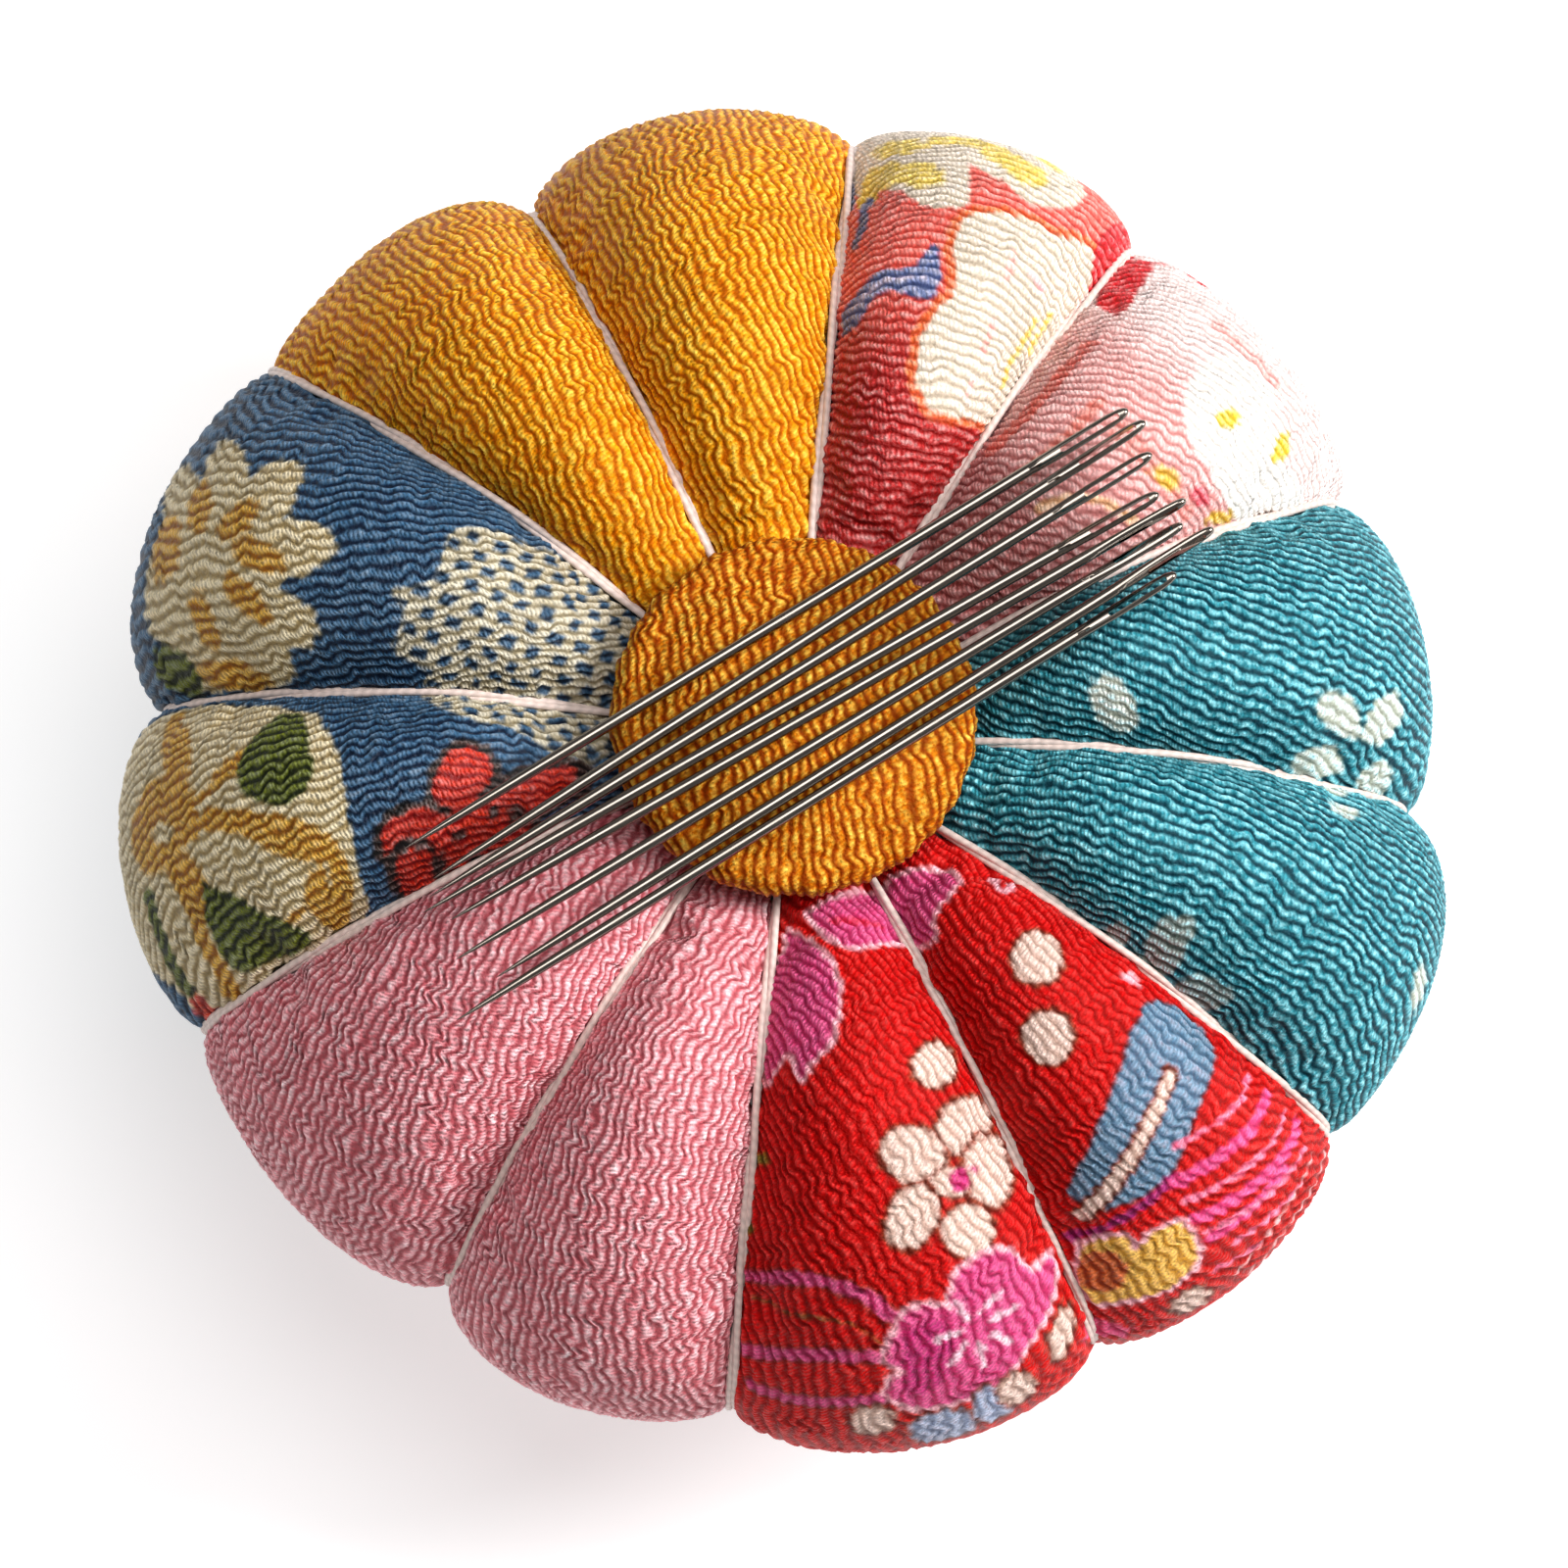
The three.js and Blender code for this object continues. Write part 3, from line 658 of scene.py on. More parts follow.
def checks(cloth, degrees):
    """Small blocks in staggered rows, as deep as the cream they lie on allows."""
    along, aside = turned(cloth.x, cloth.y, math.radians(degrees))
    aside += 0.35 * noise(cloth.x / 2.5, cloth.y / 2.5, 9)
    row = np.floor(aside / CHECK_ROW)
    across = (along / CHECK_PITCH + 0.5 * (row % 2)) % 1 - 0.5
    up = (aside / CHECK_ROW) % 1 - 0.5
    skew = 0.16 * noise(cloth.x, cloth.y, 8)
    beside = np.abs(across + skew) * CHECK_PITCH - CHECK_HALF_WIDTH
    distance = np.maximum(beside, np.abs(up) * CHECK_ROW - CHECK_HALF_DEPTH)
    return 1 - smooth(-0.12, 0.12, distance)


def paint_blue(cloth):
    # Blossom on the upper lobe.
    cloth.ovals(CREAM, [
        (-35.2, 12.5, 10.5, 7.6, 80), (-34.4, 17.6, 6, 3, 95), (-32.3, 16.6, 6.6, 3.2, 55),
        (-30.9, 13.7, 5.8, 3.6, 12), (-31.3, 9.6, 5.2, 3.2, -28), (-32.6, 7.4, 5.6, 3.2, -50),
        (-36.9, 16.4, 6, 3.2, 120), (-38, 11.5, 8, 3, 88), (-36, 7.8, 6, 4.6, 100),
    ])
    cloth.ovals(OCHRE, [
        (-36, 16.4, 2.9, 1.4, 80), (-38, 13.9, 4.2, 1.8, 80), (-33.7, 15.5, 3.2, 1.6, 45),
        (-32.5, 13.4, 3.4, 1.9, -28), (-33.2, 10.7, 3.9, 1.6, -50), (-35.8, 9.5, 3.6, 1.3, -72),
        (-33.8, 6, 5, 1.9, -8),
    ])
    cloth.oval(-37.3, 6.2, 4, 1.9, -50, LEAF)
    # Checked patch, which runs on across the groove.
    patch = cloth.shape([
        (-20.9, 14.8), (-18.4, 14.9), (-15.2, 13.8), (-12.9, 12.9), (-9.6, 9.8), (-9.4, 6.5), (-10.4, 3),
        (-12.4, 0.8), (-14.6, 1.4), (-16.9, 2.9), (-20.2, 3.8), (-22.6, 4.9), (-22.4, 6.4), (-24.4, 7.8),
        (-23.6, 9.8), (-24.3, 11.2), (-21.8, 12),
    ], rgb(202, 192, 168))
    share = checks(cloth, -16) * smooth(0.3, -0.3, patch)
    cloth.colour += (STEEL_BLUE * 0.8 - cloth.colour) * share[..., None]
    # Large pale flower on the lower lobe.
    cloth.shape([
        (-28.9, 3.9), (-27.6, 1.2), (-27, -2.4), (-26.4, -5.5), (-26, -8.6), (-30, -11.2), (-34.4, -14),
        (-36.6, -13.8), (-38.6, -9.5), (-39.8, -4.5), (-39.6, 0), (-38.4, 3.6), (-34, 4.4),
    ], CREAM)
    cloth.oval(-39.4, -4, 18, 9, 90, CREAM)
    cloth.strokes(OCHRE, [
        (1.3, (-37.5, 3.6), (-37.6, 0.5), (-37.8, -3)), (0.6, (-38, -3.4), (-35.4, -0.8), (-33.2, 1.2)),
        (1.5, (-35.4, -2.4), (-31.5, -3), (-28.9, -3.8), (-27.5, -6), (-27.6, -9)),
        (1.3, (-38.3, -4), (-36.6, -7.6), (-34.8, -11.4), (-34, -13.2)),
        (2, (-39.4, -2.2), (-36.6, -3)), (0.5, (-31.5, -9.5), (-29.4, -7.6), (-28.6, -5.6)),
    ])
    cloth.ovals(OCHRE, [
        (-38.4, -2.6, 6.4, 3.6, 75), (-30.9, -3.6, 6.4, 2.2, -22), (-33.6, 0.9, 4.2, 1.1, 35),
        (-28.6, -7.6, 3.6, 1.7, -70), (-36.4, -6.6, 4, 1.8, -65), (-37.4, 1.6, 3.6, 1.9, 95),
    ])
    cloth.ovals(CREAM, [(-38.2, -3.4, 1.3, 1.2, 0), (-32.6, -6.2, 6.2, 1.6, -32)])
    cloth.shape([
        (-31, 3.8), (-29.6, 3.6), (-29.1, 0.6), (-30, -1.2), (-31.9, -1.6), (-33.7, -0.5), (-33.1, 2),
    ], LEAF)
    cloth.shape([(-35.8, -6.3), (-33.2, -7.6), (-29, -9.9), (-32.8, -11.7), (-34.4, -11)], LEAF)
    cloth.stroke([(-39, -7.4), (-38.2, -10), (-36.8, -12.8)], 1.5, LEAF)
    cloth.oval(-35.3, -14.4, 3.4, 1.2, -40, rgb(205, 66, 40))
    # Small flower that the needles cross.
    flame = rgb(196, 38, 0)
    cloth.ovals(flame, [
        (-20.1, -0.3, 4.4, 3.4, 70), (-15.7, -1, 5.6, 2.6, 22), (-23, -3.7, 4.2, 3.2, 20),
        (-22.4, -6.3, 3.8, 3, -40), (-18.6, -4.6, 5.6, 3.2, 25),
    ], rgb(62, 38, 30), 0.5)
    cloth.oval(-19.5, -3.2, 5, 2.6, 25, flame)
    for place in [(-20.3, -3.6), (-18.2, -2.2), (-16.9, -2.7), (-19.3, -5)]:
        cloth.oval(*place, 0.9, 0.7, 20, rgb(70, 34, 26))


def paint_red(cloth):
    # Leaves near the button.
    cloth.shape([
        (0.7, -8.3), (2.6, -7.3), (4.5, -7), (7.5, -5.6), (9.7, -6.1), (8.7, -7.4), (8, -8.7), (8.2, -9.6),
        (7.1, -10.3), (5.9, -9.9), (3.7, -10.2), (2.1, -9.6),
    ], MAGENTA, PALE_PINK, 0.34)
    cloth.stroke([(2.2, -8.6), (5.2, -8.9)], 0.5, rgb(214, 60, 96))
    cloth.shape([
        (-0.6, -9.4), (0.9, -10.1), (2.1, -11.5), (2.4, -13.4), (1.9, -15.8), (0.7, -17.2), (0.2, -18.1),
        (-0.3, -16.7), (-1, -16.8), (-1.9, -18.4), (-2.2, -14),
    ], MAGENTA, PALE_PINK, 0.34)
    # Stripes that sweep in from the left.
    cloth.strokes(MAGENTA, [
        (0.9, (-3.3, -29.7), (0.4, -30.2), (3.5, -31.1), (6.1, -32.5)),
        (0.9, (-3.6, -34.3), (0.4, -34.8), (5.2, -34.9)), (0.8, (-2.9, -36.6), (0.4, -37.5), (5.4, -37.3)),
    ], rgb(150, 46, 40), 0.25)
    cloth.stroke([(-2.6, -31.4), (2.4, -32.6), (5.2, -34)], 0.25, rgb(136, 78, 36))
    # Plum blossom.
    cloth.ovals(PETAL_WHITE, [
        (10.3, -20.9, 3.6, 3.2, 60), (7.1, -22.8, 3.9, 3.4, 160), (11.7, -23.6, 4.3, 2.8, 95),
        (7.1, -26.5, 4.1, 2.9, 60), (10.4, -27.2, 3.2, 3, 80),
    ], BROWN)
    cloth.oval(9.3, -24.4, 2.2, 1.8, 0, PETAL_WHITE, BROWN, 0.2)
    cloth.ovals(rgb(206, 62, 128), [(9.9, -24.2, 1.5, 1.3, 20), (10.7, -23.6, 0.9, 0.5, 20)])
    # Dots.
    cloth.ovals(PETAL_WHITE, [
        (8.5, -17.2, 2.6, 2.6, 0), (14.5, -10.8, 3, 3, 0), (15.1, -15.6, 3.1, 3.1, 0),
    ], BROWN)
    # Large magenta blossom with its stamens.
    cloth.shape([
        (9.3, -31.4), (9.9, -29.7), (11.3, -28.8), (12.7, -28.6), (13.7, -29.5), (14.3, -29.9),
        (15.3, -28.9), (15.6, -30.2), (15.3, -31.8), (14.4, -33.2), (13.2, -35.4), (12, -36.8),
        (10.1, -37.4), (8.5, -37.9), (6.6, -37.9), (5.6, -37.1), (6, -36.1), (6.6, -35.7), (5.6, -35.1),
        (5.8, -33.7), (6.6, -32.3), (8, -31.8), (9.2, -32.1),
    ], rgb(218, 84, 140), PALE_PINK, 0.42)
    cloth.shape([(6.4, -33.6), (8.4, -32.6), (9.8, -34.4), (8.6, -36.6), (6.6, -37)], rgb(196, 56, 122))
    cloth.strokes(rgb(250, 214, 226), [
        (0.42, (11.1, -32.2), (12.2, -31)), (0.42, (11.8, -32.6), (13.1, -31.9)),
        (0.42, (11.8, -33.6), (13, -34)), (0.42, (10.9, -34.2), (11.4, -35.4)),
        (0.42, (10.1, -34.1), (9.4, -35.3)), (0.42, (9.7, -33.4), (8.6, -33.9)),
        (0.42, (10.3, -32.6), (9.7, -31.7)),
    ])
    # Dots along the rim.
    rim_dots = [
        (4.5, -38.8, 2.6, 1.6, 0), (8.9, -39.2, 4, 2, 8), (12, -37.9, 2.4, 2, 20),
        (13.3, -36.9, 2.2, 1.8, 30), (16, -33.6, 3, 1.3, 75), (23.8, -31.6, 2.3, 1.3, 30),
    ]
    for number, dot in enumerate(rim_dots):
        cloth.oval(*dot, rgb(176, 190, 214) if number in (1, 2) else PETAL_WHITE, BROWN, 0.2)
    cloth.ovals(rgb(122, 118, 40), [(-2.3, -23.1, 0.9, 0.8, 0), (-2.9, -27.1, 0.9, 0.8, 0)])
    # Striped leaf on the right lobe.
    cloth.shape([
        (20.9, -13.9), (21.9, -13.4), (23.6, -14.3), (25.1, -16.2), (24.8, -18.1), (23.8, -20.5),
        (22.9, -23.3), (21.7, -24.7), (19.3, -25.9), (17.7, -25.9), (16.5, -25.2), (16.7, -24),
        (18.2, -21.2), (19.3, -18.1), (20.1, -15.8),
    ], SKY_BLUE, rgb(120, 40, 46), 0.18)
    cloth.stroke([(22.5, -17.9), (21.2, -21), (19.3, -24), (17, -26.4)], 0.8, PETAL_WHITE, BROWN, 0.24)
    cloth.stroke([(22.6, -24.2), (19.6, -26.6), (16.2, -27.8)], 0.6, rgb(158, 42, 112))
    # Dashes beside the leaf.
    cloth.strokes(rgb(234, 92, 150), [
        (0.95, (28.3, -19.1), (22.9, -24.3)), (0.95, (30.2, -21), (24.1, -26.6)),
        (0.95, (29.3, -23.6), (25, -27.8)),
    ])
    cloth.strokes(rgb(244, 136, 166), [
        (0.4, (27.2, -18), (22.8, -22.2)), (0.4, (29.4, -20.2), (23.4, -25.6)),
        (0.4, (30.6, -22.4), (24.6, -27.4)), (0.4, (30.4, -24.4), (26.4, -28)),
        (0.4, (28, -28), (25.2, -29.6)),
    ])
    # Golden blossom.
    cloth.shape([
        (16.9, -29.5), (17.2, -28.3), (18.4, -27.8), (19.8, -27.7), (20.5, -28.5), (21.5, -27.4),
        (22.9, -26.8), (23.8, -27.4), (24.1, -29), (23.1, -30.3), (21.9, -31), (20.1, -31.5), (18.2, -31.7),
        (17.2, -31),
    ], rgb(234, 186, 92), PALE_PINK, 0.4)
    cloth.oval(18.4, -29.8, 3, 2.6, 0, rgb(198, 104, 56))
    # Edge of the print and odd bits of pattern.
    for shift in (0, 0.8):
        edge = [(31.9 - shift, -22.6), (30.0 - shift, -26.4), (27.1 - shift, -30)]
        cloth.stroke(edge, 0.25, rgb(246, 196, 196))
    cloth.stroke([(11.7, -6.1), (12.4, -6.8), (13, -6.5)], 0.5, PALE_PINK)
    cloth.oval(20.1, -12.1, 1, 0.5, -30, PALE_PINK)
    cloth.oval(18.4, -33.3, 2.8, 0.9, -5, rgb(232, 92, 140))


def paint_cloud(cloth):
    coral, white = rgb(238, 114, 102), rgb(232, 218, 200)
    cloth.fade(21, 31, coral, 80)
    indigo, scarlet = rgb(112, 126, 168), rgb(222, 20, 40)
    # White bean, with an orange edge; it runs on under the groove.
    cloth.shape([
        (11.9, 34.1), (13.5, 33.7), (15.5, 32.7), (17, 32.2), (18.6, 31), (19, 29.8), (17.4, 26.4),
        (16, 24.2), (13.6, 21.6), (11.9, 21.3), (10.4, 21.5), (8.4, 22.1), (7.4, 23.4), (7.2, 25),
        (7.5, 26.7), (8.6, 28.3), (9.4, 29.1), (9.6, 30), (9.4, 31.8), (9.8, 33.4), (10.8, 34),
    ], white, rgb(230, 116, 60), 0.6)
    for places, colour in [
        ([(14.4, 27.6), (13.2, 25.2)], rgb(250, 222, 130)),
        ([(15.4, 27.8), (14, 25.6)], rgb(250, 222, 130)), ([(13, 25.2), (12.4, 23.4)], rgb(246, 216, 120)),
        ([(14, 30.4), (14.8, 29.4)], rgb(248, 200, 200)), ([(10.6, 24), (10.2, 22.8)], rgb(246, 206, 200)),
        ([(12, 27.4), (11.2, 25.4)], rgb(240, 190, 180)), ([(13.2, 31.6), (12.6, 30)], rgb(244, 200, 190)),
    ]:
        cloth.stroke(places, 0.4, colour)
    # Rim: white ground with ochre blossoms.
    cloth.shape([
        (3.1, 36.9), (3.7, 38), (5.9, 38.9), (8.8, 38.9), (12.7, 38.4), (15.6, 37.2), (17.3, 35.5),
        (16.6, 34.4), (14.7, 34.5), (13.5, 34.9), (11.9, 36.3), (10.6, 37), (10.4, 34.7), (8.8, 34.3),
        (7.4, 34.5), (6.3, 35.3), (4.9, 35.3), (3.9, 34.5), (3.3, 35.7),
    ], white)
    cloth.oval(9.6, 38.6, 16, 7, -6, white)
    cloth.shape([(10.4, 36.9), (12, 36), (13.6, 34.8), (10.8, 34.6)], coral)
    cloth.ovals(rgb(244, 216, 112), [
        (5.2, 36.2, 3, 2, 20), (7.4, 36.4, 3, 1.8, -10), (6.2, 38, 3.4, 1.4, 5), (9.8, 38.3, 4.6, 1.1, 0),
        (12.8, 37.2, 4.2, 1.6, -30), (13.9, 36.3, 2.4, 1.4, -10), (4.2, 35, 1.8, 1.2, 50),
        (15.4, 37, 2, 1, -35),
    ])
    cloth.stroke([(4.3, 34.6), (3.9, 33.4), (3.4, 32)], 0.8, indigo)
    cloth.stroke([(3, 35.6), (3.2, 34.4)], 0.6, rgb(150, 160, 190))
    # Zigzag.
    cloth.shape([
        (2.5, 26.4), (2.6, 27.6), (3.3, 28.8), (4.7, 30.3), (5.9, 30.6), (7.2, 31), (8.3, 32.1), (8.7, 31),
        (8.4, 29.2), (7.2, 28.8), (5.9, 29.3), (4.6, 28.8), (3.8, 27.6),
    ], indigo)
    cloth.stroke([(3.4, 28.2), (5, 29.7), (7.6, 30)], 0.3, rgb(214, 200, 220))
    # Ground of the right lobe: dull rose by the button, near white towards the rim; the paling towards the
    # rim is partly the print's own fade and partly painted highlight where the light blows the rim out.
    cloth.first_lobe(rgb(190, 116, 114))
    cloth.fade(14, 30, rgb(240, 182, 178), 38, first_lobe=True)
    cloth.fade(30, 37, rgb(250, 228, 224), 38, first_lobe=True)
    for places, width, colour in [
        ([(11.6, 19.6), (14.4, 22.6), (17.6, 26)], 1.1, rgb(222, 112, 100)),
        ([(13.4, 18), (16, 20.4), (18.2, 22.6)], 0.8, rgb(226, 142, 130)),
        ([(19.4, 21), (21.6, 18.6), (23.6, 16)], 1.5, rgb(232, 160, 152)),
        ([(25.6, 27), (28.6, 24)], 1.6, rgb(244, 190, 184)),
        ([(14.6, 16.2), (18, 16.8), (20.4, 15.4)], 0.7, rgb(236, 190, 150)),
    ]:
        cloth.stroke(places, width, colour)
    # Scarlet by the groove.
    cloth.shape([(18.6, 32.9), (19.9, 33.6), (20.3, 31.6), (19.5, 30.6), (17.8, 29), (18, 31.6)], scarlet)
    cloth.shape([(18, 28.8), (19.2, 31.2), (21.4, 31), (20.7, 29.6), (19.5, 27.9), (18.4, 28.2)], scarlet)
    cloth.stroke([(20.8, 31), (23, 30.8), (24.8, 29.8)], 0.55, scarlet)
    # White flower on the right lobe.
    cloth.ovals(rgb(252, 246, 240), [
        (26.2, 22.4, 6.8, 5.4, 80), (27.4, 19, 7, 4.4, 100), (28.4, 16.8, 5, 4, 0),
    ])
    cloth.ovals(rgb(238, 214, 70), [(26.1, 21.6, 1.4, 1.3, 0), (29.2, 19.9, 1.8, 0.9, 70)])
    cloth.ovals(rgb(232, 190, 74), [(22.3, 18.1, 2.2, 1.2, -30), (25.5, 15.5, 1.6, 0.8, 20)])
    cloth.oval(24.3, 16.9, 1.5, 1, -40, rgb(222, 96, 110))


BUTTON_MUSTARD = rgb(198, 108, 2)
# For each fabric: its ground, and what paints its print.
PRINTS = {
    "cloud": (rgb(190, 30, 32), paint_cloud), "mustard": (rgb(224, 146, 6), None),
    "blue_floral": (STEEL_BLUE, paint_blue), "pink": (rgb(230, 148, 156), None),
    "red_floral": (rgb(202, 8, 10), paint_red), "teal": (rgb(34, 128, 142), paint_teal),
}

# ---- cloth simulation of the stuffed cover ----

CAGE_ROWS, CAGE_COLUMNS = 60, 14  # the columns are for each lobe
CAGE_SCALE = 10  # the solver steps cloth of this size steadily
CAGE_INSET = 0.6
CAGE_FRAMES = 20


INWARD_CAP, SIDEWAYS_CAP = 0.8, 0.4


def limit_shift(shift, normals):
    """Cap the cloth's movement: hardly outward under the needles and not at all on the base."""
    t = np.linspace(0, 1, CAGE_ROWS)[:, None]
    outward_cap = 0.1 + 0.35 * smooth(0.34, 0.5, t) - 0.45 * smooth(0.66, 0.8, t)
    out = (shift * normals).sum(-1)
    capped = np.clip(out, -INWARD_CAP, outward_cap) * smooth(0.02, 0.16, t) * (1 - smooth(0.84, 0.98, t))
    aside = np.clip(shift - out[..., None] * normals, -SIDEWAYS_CAP, SIDEWAYS_CAP)
    return capped[..., None] * normals + aside


def settle_cloth():
    """How far the cover moves as it swells between its threads, in millimetres, over a coarse cage."""
    across, t = np.meshgrid(np.arange(CAGE_COLUMNS) / CAGE_COLUMNS, np.linspace(0, 1, CAGE_ROWS))
    skin = np.concatenate([lobe_surface(lobe, across, t) for lobe in range(LOBES)], 1)
    rows, columns = skin.shape[:2]
    normals = ring_normals(skin)
    crown = np.sin(np.pi * np.tile(across[0], LOBES))[None, :, None]
    start = (skin - normals * CAGE_INSET * crown) * MM * CAGE_SCALE
    faces = grid_faces(rows, columns, wrap=True, flip=True)
    cage = make_piece("cage", start.reshape(-1, 3), faces, FIBRE)
    held = [
        r * columns + c for r in range(rows) for c in range(columns)
        if c % CAGE_COLUMNS == 0 or r < 2 or r > rows - 3
    ]
    cage.vertex_groups.new(name="held").add(held, 1, "REPLACE")
    cloth = cage.modifiers.new("cloth", "CLOTH")
    settings = cloth.settings
    settings.quality, settings.mass = 6, 0.3
    settings.tension_stiffness = settings.compression_stiffness = 15
    settings.shear_stiffness, settings.bending_stiffness = 5, 0.5
    settings.use_pressure, settings.uniform_pressure_force = True, 150
    settings.shrink_min = -0.02  # the cloth is cut a little full, so it puckers at the threads
    settings.vertex_group_mass = "held"
    settings.effector_weights.gravity = 0
    cloth.point_cache.frame_start, cloth.point_cache.frame_end = 1, CAGE_FRAMES
    for number in range(1, CAGE_FRAMES + 1):
        bpy.context.scene.frame_set(number)
    evaluated = cage.evaluated_get(bpy.context.evaluated_depsgraph_get())
    settled = np.zeros(rows * columns * 3)
    evaluated.data.vertices.foreach_get("co", settled)
    bpy.data.objects.remove(cage)
    bpy.context.scene.frame_set(1)
    return limit_shift(settled.reshape(skin.shape) / (MM * CAGE_SCALE) - skin, normals)


SHIFT = settle_cloth()


def resample(values, places):
    """Catmull-Rom interpolation along the first axis, at fractional places."""
    row = np.floor(places).astype(int)
    f = (places - row)[:, None, None]
    before, here, after, beyond = (values[np.clip(row + k, 0, len(values) - 1)] for k in (-1, 0, 1, 2))
    bend = 2 * before - 5 * here + 4 * after - beyond + f * (3 * (here - after) + beyond - before)
    return here + 0.5 * f * (after - before + f * bend)


def settled_lobe(index, across, stations, seam_before=0.0, seam_after=0.0):
    """A lobe's surface with the simulation's result added, at columns across and rows of stations."""
    a, t = np.meshgrid(across, stations)
    near = np.arange(-1, CAGE_COLUMNS + 3) + (index % LOBES) * CAGE_COLUMNS
    shift = resample(SHIFT[:, near % SHIFT.shape[1]], stations * (CAGE_ROWS - 1))
    shift = resample(shift.swapaxes(0, 1), across * CAGE_COLUMNS + 1).swapaxes(0, 1)
    return lobe_surface(index, a, t, seam_before, seam_after) + shift


# ---- cover gores ----

COVER_THICKNESS = 0.7
LINING_STEP = 6  # the lining's mesh is this much coarser
LOBE_COLUMNS = 108
SEAM_HALF_GAP = 0.06
CROWDING = 0.6  # how far a lobe's columns crowd towards its grooves
RIM_PLACE, UPPER_STEP, LOWER_STEP = 0.62, 0.19, 0.5
EDGE_TAPER = 1.2


def station_places():
    """Places along the outline, close together above and round the rim, wider under it."""
    dense = np.linspace(0, 1, 4001)
    line = reached(CREST_OUTLINE, CREST_RADIUS, CREST_RADIUS, dense)
    length = run_along(line)
    spacing = np.where(dense < RIM_PLACE, UPPER_STEP, LOWER_STEP)
    steps = np.concatenate([[0], np.cumsum(np.diff(length) / spacing[1:])])
    count = int(steps[-1] // LINING_STEP) * LINING_STEP
    return np.interp(np.linspace(0, steps[-1], count + 1), steps, dense)


STATIONS = station_places()


def gore_grid(gore):
    """The gore's two lobes: rows from the top hole down, columns counter-clockwise seen from above."""
    even = np.linspace(0, 1, LOBE_COLUMNS + 1)
    crowded = 0.5 - 0.5 * np.cos(np.linspace(0, np.pi, LOBE_COLUMNS + 1))
    across = crowded * CROWDING + even * (1 - CROWDING)
    first = settled_lobe(2 * gore, across, STATIONS, SEAM_HALF_GAP, 0)
    second = settled_lobe(2 * gore + 1, across, STATIONS, 0, SEAM_HALF_GAP)
    return np.concatenate([first, second[:, 1:]], 1)


SWING_RADIUS, SWING_HEIGHT = 20, 15


def cloth_places(gore, grid):
    """Each grid point's place on the flat cloth: distance from the top hole, and across from the middle.

    The gore is sliced by planes that swing round a level line through the cushion, square to the gore's
    middle groove; distances across are measured along these slices.
    """
    rows, columns = grid.shape[:2]
    ahead = turned(grid[..., 0], grid[..., 1], groove_angle(2 * gore + 1))[0]
    swing = -np.unwrap(np.arctan2(grid[..., 2] - SWING_HEIGHT, ahead - SWING_RADIUS), axis=0)
    swing = np.maximum.accumulate(swing, axis=0)
    slices = np.linspace(swing.min(), swing.max(), rows)
    sliced = np.stack([
        np.stack([np.interp(slices, swing[:, c], grid[:, c, axis]) for axis in range(3)], -1)
        for c in range(columns)
    ], 1)
    across = row_runs(sliced)
    across -= across[:, columns // 2][:, None]
    down = np.linalg.norm(np.diff(sliced[:, [columns // 4, 3 * columns // 4]], axis=0), axis=-1).mean(1)
    down = np.concatenate([[0], np.cumsum(down)])
    x = np.stack([np.interp(swing[:, c], slices, down) for c in range(columns)], 1)
    y = np.stack([np.interp(swing[:, c], slices, across[:, c]) for c in range(columns)], 1)
    return x, y


PUCKER_PITCH, PUCKER_REACH = 1.7, 2.4
PUCKER_DEPTH, PUCKER_CHANGE = 0.12, 0.22


def puckers(grid, x, layer):
    """How far the cloth is drawn in by the stitches beside each groove, in millimetres."""
    columns = grid.shape[1]
    run = row_runs(grid)
    from_middle = np.abs(run - run[:, columns // 2][:, None])
    from_groove = np.minimum(run, np.minimum(from_middle, run[:, -1][:, None] - run))
    lobe_half = np.arange(columns) * 4 // columns
    fold = noise(x / PUCKER_PITCH, np.broadcast_to(lobe_half * 5.3, x.shape), layer)
    return (PUCKER_DEPTH + PUCKER_CHANGE * fold) * np.exp(-from_groove / PUCKER_REACH)


def perimeter(rows, columns, step):
    """Indices round a grid's edge, every step-th point, in order."""
    top = [(0, c) for c in range(0, columns - 1, step)]
    right = [(r, columns - 1) for r in range(0, rows - 1, step)]
    bottom = [(rows - 1, c) for c in range(columns - 1, 0, -step)]
    left = [(r, 0) for r in range(rows - 1, 0, -step)]
    return top + right + bottom + left


def rim_faces(rows, columns, lining_columns, lining_start):
    """Triangles that join the cloth's edge to the coarser lining's edge."""
    fine = [r * columns + c for r, c in perimeter(rows, columns, 1)]
    coarse = [
        lining_start + (r // LINING_STEP) * lining_columns + c // LINING_STEP
        for r, c in perimeter(rows, columns, LINING_STEP)
    ]
    faces = []
    for k, here in enumerate(coarse):
        ahead = coarse[(k + 1) % len(coarse)]
        edge = [fine[(k * LINING_STEP + j) % len(fine)] for j in range(LINING_STEP + 1)]
        half = LINING_STEP // 2
        faces += [[edge[j + 1], edge[j], here] for j in range(half)]
        faces.append([edge[half], here, ahead])
        faces += [[edge[j + 1], edge[j], ahead] for j in range(half, LINING_STEP)]
    return faces


